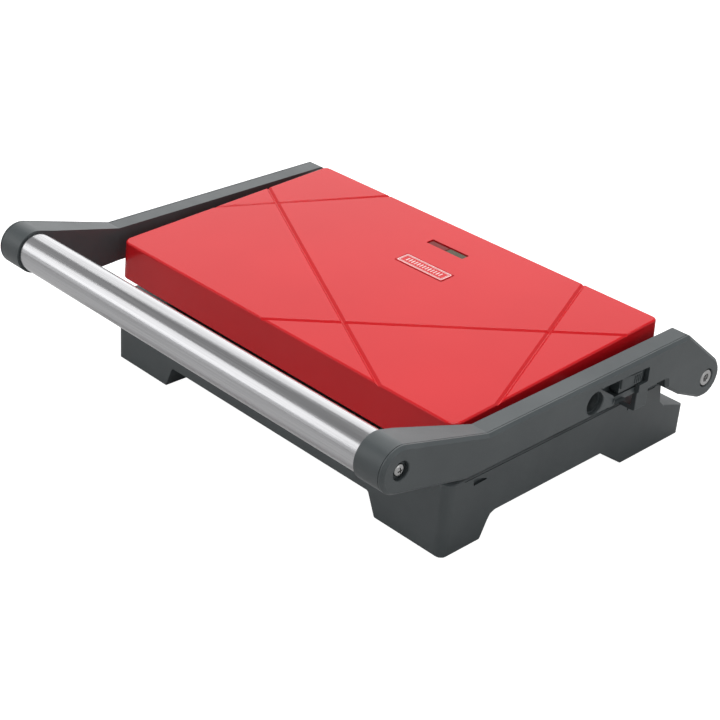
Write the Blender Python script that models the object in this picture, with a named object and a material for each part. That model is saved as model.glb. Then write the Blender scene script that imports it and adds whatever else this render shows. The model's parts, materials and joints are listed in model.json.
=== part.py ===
"""A contact grill for panini: two ribbed hot plates, the lid floating between two hinged arms.

Metres, +Z up. X runs across the press, the handle is at -Y, the hinge at +Y, and it stands on Z = 0.
"""

import math

import bmesh
import bpy
from mathutils import Matrix, Vector

# Overall sizes
WIDTH = 0.300  # across the outer faces of the arms
REACH = 0.242  # handle axis to hinge axis
HANDLE_Z = 0.0840
HINGE_Z = 0.0484

# Clearances
GAP = 0.0003  # between pieces that touch
FIT = 0.0005  # round a piece that sits in an opening
SWING = 0.0060  # from the side of the lid to an arm

# Arms
ARM_BAR = 0.0098
ARM_COVER = 0.0024
COVER_CHAMFER = 0.0016
FRONT_LOBE_R = 0.0123
REAR_LOBE_R = 0.0120
LOBE_EXTRA = 0.0056  # how much thicker an arm is at the handle
ARM_TOP_FRONT = 0.0803
ARM_TOP_REAR = 0.0816
ARM_BOTTOM = 0.0603
BEND_BEHIND_LID_FRONT = 0.0043  # the bend in an arm's top
REAR_SHOULDER = 0.023  # from the hinge axis forward to the top corner
BELLY = (0.0240, 0.0024)  # forward of and below the hinge axis
HOOK = (0.0121, 0.0057)  # forward of the lid's rear edge and below the arm
HOOK_TOP = 0.0136  # forward of the lid's rear edge
CHIN_AHEAD_OF_LID = 0.0087
CHIN = (0.0270, 0.0047)  # behind the handle axis and above the arm's bottom

# Handle
TUBE_R = 0.0111
TUBE_WALL = 0.0012
PLUG_LENGTH = 0.016
SCREW_IN_PLUG = 0.0128

# Base
BASE_SIDE_GAP = 0.0048  # from the base to an arm
BASE_BEHIND_HINGE = 0.0123
BASE_AHEAD_OF_LID = 0.0017
BASE_TOP = 0.0435
BASE_FLOOR = 0.0155
BASE_REAR_TOP = 0.0190
BASE_STEP_FOOT = 0.0307
BASE_STEP_TOP = 0.0264
BASE_STEP_RUN = 0.0067
BASE_STEP_FOOT_RUN = 0.0020  # from the top of the step back to its foot
BASE_STEP_AHEAD = 0.0160  # from the hinge axis forward to the step
BASE_TAIL = 0.012  # how much of the rear stays solid
BASE_CORNER_R = 0.006
WALL = 0.0025
FOOT_WIDTH = 0.0467
FRONT_FOOT_LENGTH = 0.0296
REAR_FOOT_LENGTH = 0.0556
FRONT_FOOT_FLANK = 0.0090
FRONT_FOOT_TOE = 0.0007  # how far the sole stops short of the foot's length
FRONT_FOOT_BENDS = ((0.0040, 0.0040), (0.0058, 0.0012))  # behind the foot and below the base's floor
REAR_FOOT_FLANK = 0.0205
FOOT_SIDE_FLANK = 0.0060
FOOT_SOLE = 0.003
PAD_PROUD = 0.0015
PAD_RECESS = 0.0010
PAD_R = 0.007
PAD_CHAMFER = 0.0006
EAR_OFFSET = 0.050  # from the side of the base to the outer face of a hinge ear
EAR_THICK = 0.012
EAR_R = 0.008
GLAND_R = 0.0045
GLAND_BORE_R = 0.0030
GLAND_TIP_R = 0.0038
GLAND_FLANGE = (0.0065, 0.0020)  # radius and thickness, inside the base
GLAND_REACH = (0.0100, 0.0105)  # inside and outside the step
GLAND_TAPER = 0.0025
GLAND_LEFT = 0.060  # left of the middle

# Under and inside the base
COVER_THICK = 0.002
COVER_MARGIN = 0.006  # from a screw to the edge of the bottom cover
COVER_SCREW_FROM_FOOT = 0.010
COVER_SCREW_BEHIND_FOOT = 0.016
COVER_SCREW_AHEAD_OF_FOOT = 0.022
VENT_MARGIN = 0.010  # from a screw to the opening above the cover
VENT_MARGIN_Y = 0.006
VENT_SLOT = 0.004
VENT_PITCH = 0.016
VENT_SLOTS = 7
VENT_SLOT_MARGIN = 0.016
TERMINALS = (0.032, 0.012, 0.009)
TERMINALS_FROM_STEP = 0.014
TERMINALS_LEFT = 0.012
TERMINAL_BORE_R = 0.0020
TERMINAL_BORE_HEIGHT = 0.005
TERMINAL_PITCH = 0.0105

# Hinge
ROD_R = 0.0040
ROD_BORE_R = 0.0019
ROD_BORE_DEPTH = 0.014
BUSH_R = 0.0045

# Lid
HANDLE_TO_LID = 0.0557
LID_TO_HINGE = 0.0254
LID_BOTTOM = 0.0543
LID_TOP_FRONT = 0.0767
LID_TOP_REAR = 0.0852
LID_DRAFT = 0.0013
LID_FRONT_CORNER_R = 0.0068
LID_REAR_CORNER_R = 0.0043
LID_EDGE = 0.0012
LID_WALL = 0.0022
GROOVE_WIDTH = 0.0022
GROOVE_DEPTH = 0.0010
GROOVE_RISE = 0.0006  # how far a groove's cutter stands above the lid
GROOVE_STAGGER = 0.00004  # each groove is a little shallower, so no two floors meet at one level
FRAME_INSET = 0.0040
FRAME_HEIGHT = 0.0100
FRAME_ABOVE_RIBS = 0.001
FRAME_CORNER_R = 0.0070
FRAME_INNER_R = 0.0045
PILLAR_R = 0.0032  # posts inside the lid that its frame is screwed to
PILLAR_FROM_PLATE_SIDE = 0.012
PIVOT_AHEAD_OF_LID_REAR = 0.0762
PIVOT_Z = 0.0683
BOSS_R = 0.0058
BOSS_COLLAR = (0.0078, 0.0030)
BOSS_IN_LID = 0.012
BOSS_HOLE_DEPTH = 0.006

# Hot plates
PLATE_GAP = 0.0042
PLATE_PROUD = 0.0030
PLATE_THICK = 0.0085
DECK_RIM = 0.0190  # from the side of the base to the edge of the lower plate
FLANGE = 0.0030
FLANGE_THICK = 0.0025
RIB_PITCH = 0.0096
RIB_GROOVE = 0.0052
RIB_DEPTH = 0.0028
PLATE_EDGE = 0.0070
PLATE_CORNER_R = 0.0075
OPENING_CORNER_R = 0.0080
ELEMENT_R = 0.0032
ELEMENT_INSET = 0.026
ELEMENT_BEND_R = 0.022
ELEMENT_TAIL = 0.012
REFLECTOR_INSET = 0.012
REFLECTOR_SHEET = 0.0010
REFLECTOR_HEIGHT = 0.0080
REFLECTOR_CORNER_R = 0.0060
REFLECTOR_OFF_PLATE = 0.0004
THERMOSTAT_BODY = (0.0080, 0.0030)
THERMOSTAT_CAP = (0.0048, 0.0060)

# Screws: head radius, head height, shank radius and, where it isn't worked out, shank length
ARM_SCREW = (0.0032, 0.0018, 0.0017)
HINGE_SCREW = (0.0049, 0.0022, 0.0017, 0.0200)
PIVOT_SCREW = (0.0042, 0.0022, 0.0025)
CASE_SCREW = (0.0028, 0.0014, 0.0014, 0.0080)
ARM_SCREW_WELL_R = 0.0050
HINGE_SCREW_WELL_R = 0.0054
PIVOT_WELL_R = 0.0065
PIVOT_SEAT_R = 0.0056
PIVOT_SEAT_DEPTH = 0.0052  # how far below the bar's face the pivot screw's head seats

# Indicator window and badge
LENS_LENGTH = 0.0138
LENS_DEPTH = 0.0048
LENS_THICK = 0.0034
LENS_SUNK = 0.0003
LAMP_R = 0.0020
LAMP_HEIGHT = 0.0060
LAMP_SHOULDER = 0.0045
LAMP_HOLDER = (0.034, 0.011, 0.008)
LAMP_HOLDER_FLOOR = 0.002
BADGE_SIZE = (0.0355, 0.0102, 0.0008)
BADGE_SUNK = 0.0005
BADGE_AT = (0.0070, 0.0535)  # from the middle of the lid and from its rear edge
WINDOW_AT = (0.0, 0.0270)

# Transport lock in the right arm. Places along Y are from the lid's pivot, and heights from an arm's bottom
LOCK_TRAVEL = 0.0065
LOCK_BODY = (0.0231, 0.0558)
LOCK_HEIGHT = (0.0042, 0.0138)
LOCK_KNOB = (0.0236, 0.0400)
LOCK_KNOB_HEIGHT = (0.0068, 0.0132)
LOCK_KNOB_SUNK = 0.0006  # below the face of the cover
LOCK_LEG = (0.0446, 0.0546)
LOCK_LEG_THICK = 0.0030
LOCK_POCKET = 0.0062
LOCK_FINGER_ROOM = 0.0085  # ahead of the body when it is slid forward
WINDOW_DIAGONAL = ((0.0028, 0.0154), (0.0172, 0.0059))
WINDOW_SILL = (0.0160, 0.0276, 0.0012)  # its front and rear, and its height
WINDOW_REAR = (0.0372, 0.0440)  # at the arm's bottom, and above
WINDOW_REAR_HEIGHT = 0.0058
WINDOW_TOP = 0.0146
TOE_THICK = 0.0030
TOE_ABOVE_BASE = 0.0015
TOE_REACH = 0.0014  # from the toe's tip to the side of the base
CATCH_LIP = 0.0024
CATCH_REACH = 0.0038  # how far the lip stands out from the side of the base
CATCH_CLEARANCE = 0.0007  # from the side of the lid's frame to the back of the catch
CATCH_TONGUE = 0.0018
CATCH_TONGUE_INSET = 0.0016  # from either end of the catch

CUT = 0.001  # how far a cutter stands clear of the face it cuts
BELOW_ARM = 0.005  # how far the lock's cutters run below the arm
ROUND = 32
SMALL_ROUND = 16

# Worked out from the sizes above
HALF = WIDTH / 2
ARM_SEAM = HALF - ARM_COVER
BAR_OUT = ARM_SEAM - GAP
ARM_IN = BAR_OUT - ARM_BAR
LOBE_IN = ARM_IN - LOBE_EXTRA
HANDLE_Y = -REACH / 2
HINGE_Y = REACH / 2
BASE_HALF = ARM_IN - BASE_SIDE_GAP
LID_HALF = ARM_IN - SWING
LID_FRONT = HANDLE_Y + HANDLE_TO_LID
LID_REAR = HINGE_Y - LID_TO_HINGE
LID_MIDDLE = (LID_FRONT + LID_REAR) / 2
PIVOT_Y = LID_REAR - PIVOT_AHEAD_OF_LID_REAR
BASE_FRONT = LID_FRONT - BASE_AHEAD_OF_LID
BASE_REAR = HINGE_Y + BASE_BEHIND_HINGE
STEP_Y = HINGE_Y - BASE_STEP_AHEAD
LOWER_TOP = BASE_TOP + PLATE_PROUD
UPPER_BOTTOM = LOWER_TOP + PLATE_GAP
FRAME_BOTTOM = UPPER_BOTTOM + FRAME_ABOVE_RIBS
PLATE_HALF = BASE_HALF - DECK_RIM
PLATE_DEPTH = LID_REAR - LID_FRONT - 2 * (DECK_RIM - BASE_HALF + LID_HALF)
LID_SLOPE = (LID_TOP_REAR - LID_TOP_FRONT) / (LID_REAR - LID_FRONT)
FOOT_BOTTOM = PAD_PROUD
LOCK_FRONT, LOCK_REAR = PIVOT_Y + LOCK_BODY[0], PIVOT_Y + LOCK_BODY[1]
LOCK_BOTTOM, LOCK_TOP = ARM_BOTTOM + LOCK_HEIGHT[0], ARM_BOTTOM + LOCK_HEIGHT[1]
LEG_FRONT, LEG_REAR = PIVOT_Y + LOCK_LEG[0], PIVOT_Y + LOCK_LEG[1]
TOE_BOTTOM = BASE_TOP + TOE_ABOVE_BASE
CATCH_BACK = LID_HALF - FRAME_INSET + CATCH_CLEARANCE
GLAND_Z = BASE_TOP - WALL - FIT - GLAND_FLANGE[0]

SIDES = (("left", -1), ("right", 1))


def clear_scene():
    for obj in list(bpy.data.objects):
        bpy.data.objects.remove(obj, do_unlink=True)


def finish(name, colour, roughness, metallic=0.0):
    mat = bpy.data.materials.new(name)
    mat.use_nodes = True
    shader = mat.node_tree.nodes["Principled BSDF"]
    shader.inputs["Base Color"].default_value = (*colour, 1.0)
    shader.inputs["Roughness"].default_value = roughness
    shader.inputs["Metallic"].default_value = metallic
    return mat


def make_finishes():
    return {
        "black_plastic": finish("black_plastic", (0.050, 0.054, 0.054), 0.45),
        "red_plastic": finish("red_plastic", (0.62, 0.035, 0.040), 0.25),
        "brushed_steel": finish("brushed_steel", (0.62, 0.62, 0.63), 0.30, 1.0),
        "bright_steel": finish("bright_steel", (0.70, 0.70, 0.70), 0.20, 1.0),
        "cast_aluminium": finish("cast_aluminium", (0.035, 0.035, 0.036), 0.50, 0.3),
        "steel_sheet": finish("steel_sheet", (0.55, 0.55, 0.54), 0.40, 1.0),
        "rubber": finish("rubber", (0.02, 0.02, 0.02), 0.80),
        "nylon": finish("nylon", (0.65, 0.64, 0.60), 0.50),
        "red_lens": finish("red_lens", (0.16, 0.03, 0.02), 0.15),
        "green_lens": finish("green_lens", (0.12, 0.14, 0.08), 0.15),
        "glass": finish("glass", (0.75, 0.72, 0.68), 0.08),
        "badge_print": finish("badge_print", (0.80, 0.55, 0.55), 0.35),
    }


def pivot(name, at, parent=None):
    """An empty on a joint's axis, which the moving pieces hang from."""
    empty = bpy.data.objects.new(name, None)
    bpy.context.collection.objects.link(empty)
    empty.parent = parent
    origin = Vector(at)
    if parent:
        origin -= Vector(parent["at"])
    empty.location = origin
    empty["at"] = at
    return empty


def add(name, bm, mat=None, parent=None, place=None):
    """Makes an object from a bmesh given in world coordinates, or placed by a matrix."""
    mesh = bpy.data.meshes.new(name)
    bmesh.ops.recalc_face_normals(bm, faces=bm.faces)
    bm.to_mesh(mesh)
    bm.free()
    obj = bpy.data.objects.new(name, mesh)
    bpy.context.collection.objects.link(obj)
    if place:
        obj.matrix_world = place
    if parent:
        obj.parent = parent
        obj.matrix_parent_inverse = Matrix.Translation(-Vector(parent["at"]))
    if mat:
        mesh.materials.append(mat)
    mesh.shade_smooth()
    mesh.set_sharp_from_angle(angle=math.radians(35))
    return obj


def shape(obj, cutter_bm, operation="DIFFERENCE"):
    """Cuts, joins or intersects an object with a hidden helper."""
    helper = add(f"{obj.name}_{operation.lower()}_{len(obj.modifiers)}", cutter_bm)
    helper.hide_render = True
    helper.display_type = "WIRE"
    step = obj.modifiers.new(helper.name, "BOOLEAN")
    step.operation = operation
    step.object = helper


def prism(outline, axis, low, high, bm=None):
    """A solid with a flat outline, run along X, Y or Z. An outline's axes are the other two, in order."""
    bm = bm or bmesh.new()
    spread = {
        "X": lambda a, b: (low, a, b),
        "Y": lambda a, b: (a, low, b),
        "Z": lambda a, b: (a, b, low),
    }[axis]
    along = {"X": (1, 0, 0), "Y": (0, 1, 0), "Z": (0, 0, 1)}[axis]
    face = bm.faces.new([bm.verts.new(spread(a, b)) for a, b in outline])
    grown = bmesh.ops.extrude_face_region(bm, geom=[face], use_keep_orig=True)
    moved = [item for item in grown["geom"] if isinstance(item, bmesh.types.BMVert)]
    bmesh.ops.translate(bm, verts=moved, vec=Vector(along) * (high - low))
    return bm


def block(low, high, bm=None):
    outline = ((low[0], low[1]), (high[0], low[1]), (high[0], high[1]), (low[0], high[1]))
    return prism(outline, "Z", low[2], high[2], bm)


def arc(centre, radius, start, end, steps):
    """Points round a circle from one angle to another, in radians."""
    angles = [start + (end - start) * i / steps for i in range(steps + 1)]
    return [(centre[0] + radius * math.cos(a), centre[1] + radius * math.sin(a)) for a in angles]


def circle(centre, radius, steps=SMALL_ROUND):
    return arc(centre, radius, 0, 2 * math.pi * (steps - 1) / steps, steps - 1)


def rounded_box(half_x, front, rear, radius, steps=4, rear_radius=None):
    """An outline in X and Y with round corners, those at the rear with a radius of their own if given."""
    tail = rear_radius or radius
    corners = (
        (half_x - tail, rear - tail, tail),
        (tail - half_x, rear - tail, tail),
        (radius - half_x, front + radius, radius),
        (half_x - radius, front + radius, radius),
    )
    points = []
    for quarter, (x, y, own) in enumerate(corners):
        points += arc((x, y), own, quarter * math.pi / 2, (quarter + 1) * math.pi / 2, steps)
    return points


def stack(outlines, heights, closed_ring=False):
    """Bridges equal outlines, each at its height or with a function of Y for its height."""
    bm = bmesh.new()
    rings = []
    for outline, height in zip(outlines, heights):
        level = height if callable(height) else lambda y, z=height: z
        ring = [bm.verts.new((x, y, level(y))) for x, y in outline]
        rings.append(ring)
    count = len(rings[0])
    pairs = list(zip(rings, rings[1:] + rings[:1] if closed_ring else rings[1:]))
    for lower, upper in pairs:
        for i in range(count):
            j = (i + 1) % count
            bm.faces.new((lower[i], lower[j], upper[j], upper[i]))
    if not closed_ring:
        bm.faces.new(rings[0])
        bm.faces.new(rings[-1])
    bmesh.ops.recalc_face_normals(bm, faces=bm.faces)
    bmesh.ops.triangulate(bm, faces=bm.faces)
    return bm


def turned(profile, steps=SMALL_ROUND, ring=False):
    """Spins a profile of (radius, height) points round Z. A ring's profile closes on itself."""
    bm = bmesh.new()
    verts = [bm.verts.new((radius, 0, height)) for radius, height in profile]
    edges = [bm.edges.new(pair) for pair in zip(verts, verts[1:])]
    if ring:
        edges.append(bm.edges.new((verts[-1], verts[0])))
    bmesh.ops.spin(
        bm, geom=verts + edges, cent=(0, 0, 0), axis=(0, 0, 1), angle=2 * math.pi, steps=steps
    )
    bmesh.ops.remove_doubles(bm, verts=bm.verts, dist=1e-6)
    return bm


def along_x(x, y, z, sign=1):
    """Puts a turned piece on an axis along X, its own +Z pointing to sign times X."""
    return Matrix.Translation((x, y, z)) @ Matrix.Rotation(sign * math.pi / 2, 4, "Y")


def screw(name, size, mat, parent, place):
    """A pan-head screw. Its head sits above its own Z = 0, with the shank below."""
    head_r, head_h, shank_r, shank_l = size
    profile = [
        (0, -shank_l),
        (shank_r * 0.6, -shank_l),
        (shank_r, -shank_l + shank_r),
        (shank_r, 0),
        (head_r, 0),
        (head_r, head_h * 0.5),
        (head_r * 0.75, head_h),
        (0, head_h),
    ]
    return add(name, turned(profile), mat, parent, place)


def tangent(point, centre, radius, side):
    """The angle at which a line from a point touches a circle, on one side or the other."""
    dy, dz = point[0] - centre[0], point[1] - centre[1]
    return math.atan2(dz, dy) + side * math.acos(radius / math.hypot(dy, dz))


def wrap(before, centre, radius, after, steps):
    """The clockwise arc that joins two points' tangents round a circle."""
    start = tangent(before, centre, radius, -1)
    end = tangent(after, centre, radius, 1)
    turn = (start - end) % (2 * math.pi)
    return arc(centre, radius, start, start - turn, steps)


def arm_outline():
    """The side of an arm: a lobe round the handle, a bend, a straight and a lobe round the hinge."""
    handle, hinge = (HANDLE_Y, HANDLE_Z), (HINGE_Y, HINGE_Z)
    top_bend = (LID_FRONT + BEND_BEHIND_LID_FRONT, ARM_TOP_FRONT)
    top_rear = (HINGE_Y - REAR_SHOULDER, ARM_TOP_REAR)
    belly = (HINGE_Y - BELLY[0], HINGE_Z - BELLY[1])
    chin = (HANDLE_Y + CHIN[0], ARM_BOTTOM + CHIN[1])
    points = [top_bend, top_rear]
    points += wrap(top_rear, hinge, REAR_LOBE_R, belly, 12)
    points += [
        belly,
        (LID_REAR - HOOK[0], ARM_BOTTOM - HOOK[1]),
        (LID_REAR - HOOK_TOP, ARM_BOTTOM),
        (LID_FRONT - CHIN_AHEAD_OF_LID, ARM_BOTTOM),
        chin,
    ]
    return points + wrap(chin, handle, FRONT_LOBE_R, top_bend, 14)


def mirrored(outline, sign):
    return [(a * sign, b) for a, b in outline]


def lock_window():
    """The opening in the right arm's cover that the lock's knob slides in and its leg hangs below."""
    (front, high), (low_front, low) = WINDOW_DIAGONAL
    sill_front, sill_rear, sill = WINDOW_SILL
    below = -BELOW_ARM
    outline = [
        (front, high),
        (low_front, low),
        (sill_front, sill),
        (sill_rear, sill),
        (sill_rear, below),
        (WINDOW_REAR[0], below),
        (WINDOW_REAR[0], WINDOW_REAR_HEIGHT),
        (WINDOW_REAR[1], WINDOW_REAR_HEIGHT),
        (WINDOW_REAR[1], WINDOW_TOP),
    ]
    return [(PIVOT_Y + y, ARM_BOTTOM + z) for y, z in outline]


def lock_pocket(bm):
    """The space in the right arm's bar for the lock's body, and the slot that its leg hangs through."""
    front = LOCK_FRONT - LOCK_TRAVEL - LOCK_FINGER_ROOM
    slot = LEG_FRONT - LOCK_TRAVEL - FIT
    rear = LOCK_REAR + FIT
    low, high = LOCK_BOTTOM - FIT, LOCK_TOP + FIT
    below = ARM_BOTTOM - BELOW_ARM
    outline = [(front, low), (slot, low), (slot, below), (rear, below), (rear, high), (front, high)]
    return prism(outline, "X", BAR_OUT - LOCK_POCKET, BAR_OUT + CUT, bm)


def make_arm(side, sign, mats, arms):
    low, high = sorted((sign * LOBE_IN, sign * BAR_OUT))
    bar = add(f"arm_{side}", prism(arm_outline(), "X", low, high), mats["black_plastic"], arms)
    ahead, behind = HANDLE_Y - 2 * FRONT_LOBE_R, HINGE_Y + 2 * REAR_LOBE_R
    plan = [
        (LOBE_IN - CUT, ahead),
        (BAR_OUT + CUT, ahead),
        (BAR_OUT + CUT, behind),
        (ARM_IN, behind),
        (ARM_IN, LID_FRONT + BEND_BEHIND_LID_FRONT),
        (LOBE_IN, HANDLE_Y + FRONT_LOBE_R - CUT),
        (LOBE_IN - CUT, HANDLE_Y + FRONT_LOBE_R - CUT),
    ]
    shape(bar, prism(mirrored(plan, sign), "Z", 0.0, 2 * HANDLE_Z), "INTERSECT")
    holes = bmesh.new()
    reach = sorted((sign * (LOBE_IN - CUT), sign * (BAR_OUT + CUT)))
    prism(circle((HANDLE_Y, HANDLE_Z), ARM_SCREW[2] + GAP), "X", *reach, holes)
    prism(circle((HINGE_Y, HINGE_Z), BUSH_R + GAP, ROUND), "X", *reach, holes)
    prism(circle((PIVOT_Y, PIVOT_Z), PIVOT_SCREW[2] + GAP), "X", *reach, holes)
    if side == "right":
        lock_pocket(holes)
    shape(bar, holes)
    seat = sorted((sign * (BAR_OUT - PIVOT_SEAT_DEPTH), sign * (BAR_OUT + CUT)))
    shape(bar, prism(circle((PIVOT_Y, PIVOT_Z), PIVOT_SEAT_R, 20), "X", *seat))


def make_arm_cover(side, sign, mats, arms):
    bm = prism(arm_outline(), "X", sign * ARM_SEAM, sign * HALF)
    rim = [e for e in bm.edges if all(abs(abs(v.co.x) - HALF) < 1e-6 for v in e.verts)]
    bmesh.ops.bevel(bm, geom=rim, offset=COVER_CHAMFER, segments=1, affect="EDGES")
    cover = add(f"arm_cover_{side}", bm, mats["black_plastic"], arms)
    wells = bmesh.new()
    reach = sorted((sign * (ARM_SEAM - CUT), sign * (HALF + CUT)))
    prism(circle((HANDLE_Y, HANDLE_Z), ARM_SCREW_WELL_R), "X", *reach, wells)
    prism(circle((HINGE_Y, HINGE_Z), HINGE_SCREW_WELL_R), "X", *reach, wells)
    prism(circle((PIVOT_Y, PIVOT_Z), PIVOT_WELL_R, 20), "X", *reach, wells)
    if side == "right":
        prism(lock_window(), "X", *reach, wells)
    shape(cover, wells)


def make_handle(mats, arms):
    length = LOBE_IN - GAP
    bore = TUBE_R - TUBE_WALL
    ring = [(bore, -length), (TUBE_R, -length), (TUBE_R, length), (bore, length)]
    place = along_x(0, HANDLE_Y, HANDLE_Z)
    add("handle_tube", turned(ring, ROUND, ring=True), mats["brushed_steel"], arms, place)
    for side, sign in SIDES:
        hole = ARM_SCREW[2] + GAP
        plug = [(hole, 0), (bore - GAP, 0), (bore - GAP, PLUG_LENGTH), (hole, PLUG_LENGTH)]
        place = along_x(sign * length, HANDLE_Y, HANDLE_Z, -sign)
        add(f"handle_plug_{side}", turned(plug, 20, ring=True), mats["nylon"], arms, place)
        place = along_x(sign * (BAR_OUT + GAP), HANDLE_Y, HANDLE_Z, sign)
        size = (*ARM_SCREW, BAR_OUT - LOBE_IN + SCREW_IN_PLUG)
        screw(f"handle_screw_{side}", size, mats["bright_steel"], arms, place)


def make_hinge(mats, arms):
    end = ARM_IN - GAP
    depth = end - ROD_BORE_DEPTH
    rod = [
        (0, -depth), (ROD_BORE_R, -depth), (ROD_BORE_R, -end), (ROD_R, -end),
        (ROD_R, end), (ROD_BORE_R, end), (ROD_BORE_R, depth), (0, depth),
    ]
    place = along_x(0, HINGE_Y, HINGE_Z)
    add("hinge_rod", turned(rod, 20), mats["bright_steel"], None, place)
    for side, sign in SIDES:
        hole = HINGE_SCREW[2] + GAP
        length = BAR_OUT - ARM_IN - GAP
        bush = [(hole, 0), (BUSH_R, 0), (BUSH_R, length), (hole, length)]
        place = along_x(sign * (ARM_IN + GAP), HINGE_Y, HINGE_Z, sign)
        add(f"hinge_bush_{side}", turned(bush, ROUND, ring=True), mats["nylon"], arms, place)
        place = along_x(sign * (BAR_OUT + GAP), HINGE_Y, HINGE_Z, sign)
        screw(f"hinge_screw_{side}", HINGE_SCREW, mats["bright_steel"], None, place)


def deck_height(y):
    """Top of the base's low rear deck."""
    front = STEP_Y + BASE_STEP_RUN
    return BASE_STEP_TOP + (y - front) * (BASE_REAR_TOP - BASE_STEP_TOP) / (BASE_REAR - front)


def base_outline():
    """The base from the side, with the gap between its front and rear feet."""
    front_toe = BASE_FRONT + FRONT_FOOT_LENGTH
    rear_toe = BASE_REAR - REAR_FOOT_LENGTH
    return [
        (BASE_FRONT, FOOT_BOTTOM),
        (front_toe - FRONT_FOOT_TOE, FOOT_BOTTOM),
        *[(front_toe + behind, BASE_FLOOR - below) for behind, below in FRONT_FOOT_BENDS],
        (front_toe + FRONT_FOOT_FLANK, BASE_FLOOR),
        (rear_toe - REAR_FOOT_FLANK, BASE_FLOOR),
        (rear_toe, FOOT_BOTTOM),
        (BASE_REAR, FOOT_BOTTOM),
        (BASE_REAR, BASE_REAR_TOP),
        (STEP_Y + BASE_STEP_RUN, BASE_STEP_TOP),
        (STEP_Y + BASE_STEP_FOOT_RUN, BASE_STEP_FOOT),
        (STEP_Y, BASE_TOP),
        (BASE_FRONT, BASE_TOP),
    ]


def base_front_outline():
    """The base from the front, with the gap between its left and right feet."""
    toe = BASE_HALF - FOOT_WIDTH
    half = [
        (BASE_HALF, BASE_TOP + CUT),
        (BASE_HALF, FOOT_BOTTOM - CUT),
        (toe, FOOT_BOTTOM - CUT),
        (toe - FOOT_SIDE_FLANK, BASE_FLOOR),
    ]
    return half + [(-x, z) for x, z in reversed(half)]


def foot_middles():
    x = BASE_HALF - FOOT_WIDTH / 2
    front = BASE_FRONT + FRONT_FOOT_LENGTH / 2
    rear = BASE_REAR - REAR_FOOT_LENGTH / 2
    return (
        ("front_left", -x, front, FRONT_FOOT_LENGTH),
        ("front_right", x, front, FRONT_FOOT_LENGTH),
        ("rear_left", -x, rear, REAR_FOOT_LENGTH),
        ("rear_right", x, rear, REAR_FOOT_LENGTH),
    )


def base_hollow():
    """The space inside the base, down into its four feet."""
    floor = BASE_FLOOR + WALL
    tail = BASE_REAR - BASE_TAIL
    outline = [
        (BASE_FRONT + WALL, floor),
        (tail, floor),
        (tail, deck_height(tail) - WALL),
        (STEP_Y + BASE_STEP_RUN - WALL, BASE_STEP_TOP - WALL),
        (STEP_Y + BASE_STEP_FOOT_RUN - WALL, BASE_STEP_FOOT - WALL),
        (STEP_Y - WALL, BASE_TOP - WALL),
        (BASE_FRONT + WALL, BASE_TOP - WALL),
    ]
    return prism(outline, "X", WALL - BASE_HALF, BASE_HALF - WALL)


def foot_hollows():
    bm = bmesh.new()
    for _name, x, y, length in foot_middles():
        half_x = FOOT_WIDTH / 2 - WALL
        half_y = length / 2 - WALL
        low = (x - half_x, y - half_y, FOOT_BOTTOM + FOOT_SOLE)
        high = (x + half_x, min(y + half_y, BASE_REAR - BASE_TAIL), BASE_FLOOR + WALL + CUT)
        block(low, high, bm)
    return bm


def ear_outline():
    front, rear = HINGE_Y - EAR_R, HINGE_Y + EAR_R
    points = [(front, deck_height(front) - CUT), (rear, deck_height(rear) - CUT)]
    return points + arc((HINGE_Y, HINGE_Z), EAR_R, 0, math.pi, 12)


def ear_faces():
    outer = BASE_HALF - EAR_OFFSET + EAR_THICK / 2
    return outer - EAR_THICK, outer


def cover_screws():
    """How far out the bottom cover's screws are, and their front and rear rows."""
    x = BASE_HALF - FOOT_WIDTH - FOOT_SIDE_FLANK - COVER_SCREW_FROM_FOOT
    front = BASE_FRONT + FRONT_FOOT_LENGTH + COVER_SCREW_BEHIND_FOOT
    rear = BASE_REAR - REAR_FOOT_LENGTH - COVER_SCREW_AHEAD_OF_FOOT
    return x, front, rear


def cover_corners():
    """Where the base's bottom cover is screwed, in X and Y."""
    x, front, rear = cover_screws()
    return [(sx * x, y) for y in (front, rear) for sx in (-1, 1)]


def make_base(mats):
    shell = add("base_shell", prism(base_outline(), "X", -BASE_HALF, BASE_HALF), mats["black_plastic"])
    shape(shell, prism(base_front_outline(), "Y", BASE_FRONT - CUT, BASE_REAR + CUT), "INTERSECT")
    plan = rounded_box(BASE_HALF, BASE_FRONT, BASE_REAR, BASE_CORNER_R)
    shape(shell, prism(plan, "Z", 0.0, BASE_TOP + CUT), "INTERSECT")
    shape(shell, base_hollow())
    shape(shell, foot_hollows())
    ears = bmesh.new()
    inner, outer = ear_faces()
    for low, high in ((inner, outer), (-outer, -inner)):
        prism(ear_outline(), "X", low, high, ears)
    shape(shell, ears, "UNION")
    shape(shell, base_openings())


def catch_run(shorter=0.0):
    """The front and rear of the catch, ahead of where the toe rests when the lock is back."""
    return LEG_FRONT - LOCK_TRAVEL + shorter, LEG_FRONT - FIT - shorter


def catch_tongue(grow=0.0):
    """The catch's tongue, or the slot for it in the top of the base."""
    front, rear = catch_run(CATCH_TONGUE_INSET - grow)
    low = (CATCH_BACK - grow, front, BASE_TOP - WALL - CUT)
    return low, (CATCH_BACK + CATCH_TONGUE + grow, rear, BASE_TOP + CUT)


def make_catch(mats):
    """A clip on top of the base, with a lip over the toe of the lock when it is slid forward."""
    low = BASE_TOP + GAP
    lip = TOE_BOTTOM + TOE_THICK + FIT
    outline = [
        (CATCH_BACK, low),
        (BASE_HALF, low),
        (BASE_HALF, lip),
        (BASE_HALF + CATCH_REACH, lip),
        (BASE_HALF + CATCH_REACH, lip + CATCH_LIP / 2),
        (BASE_HALF, lip + CATCH_LIP),
        (CATCH_BACK, lip + CATCH_LIP),
    ]
    catch = add("lock_catch", prism(outline, "Y", *catch_run()), mats["black_plastic"])
    shape(catch, block(*catch_tongue()), "UNION")


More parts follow.
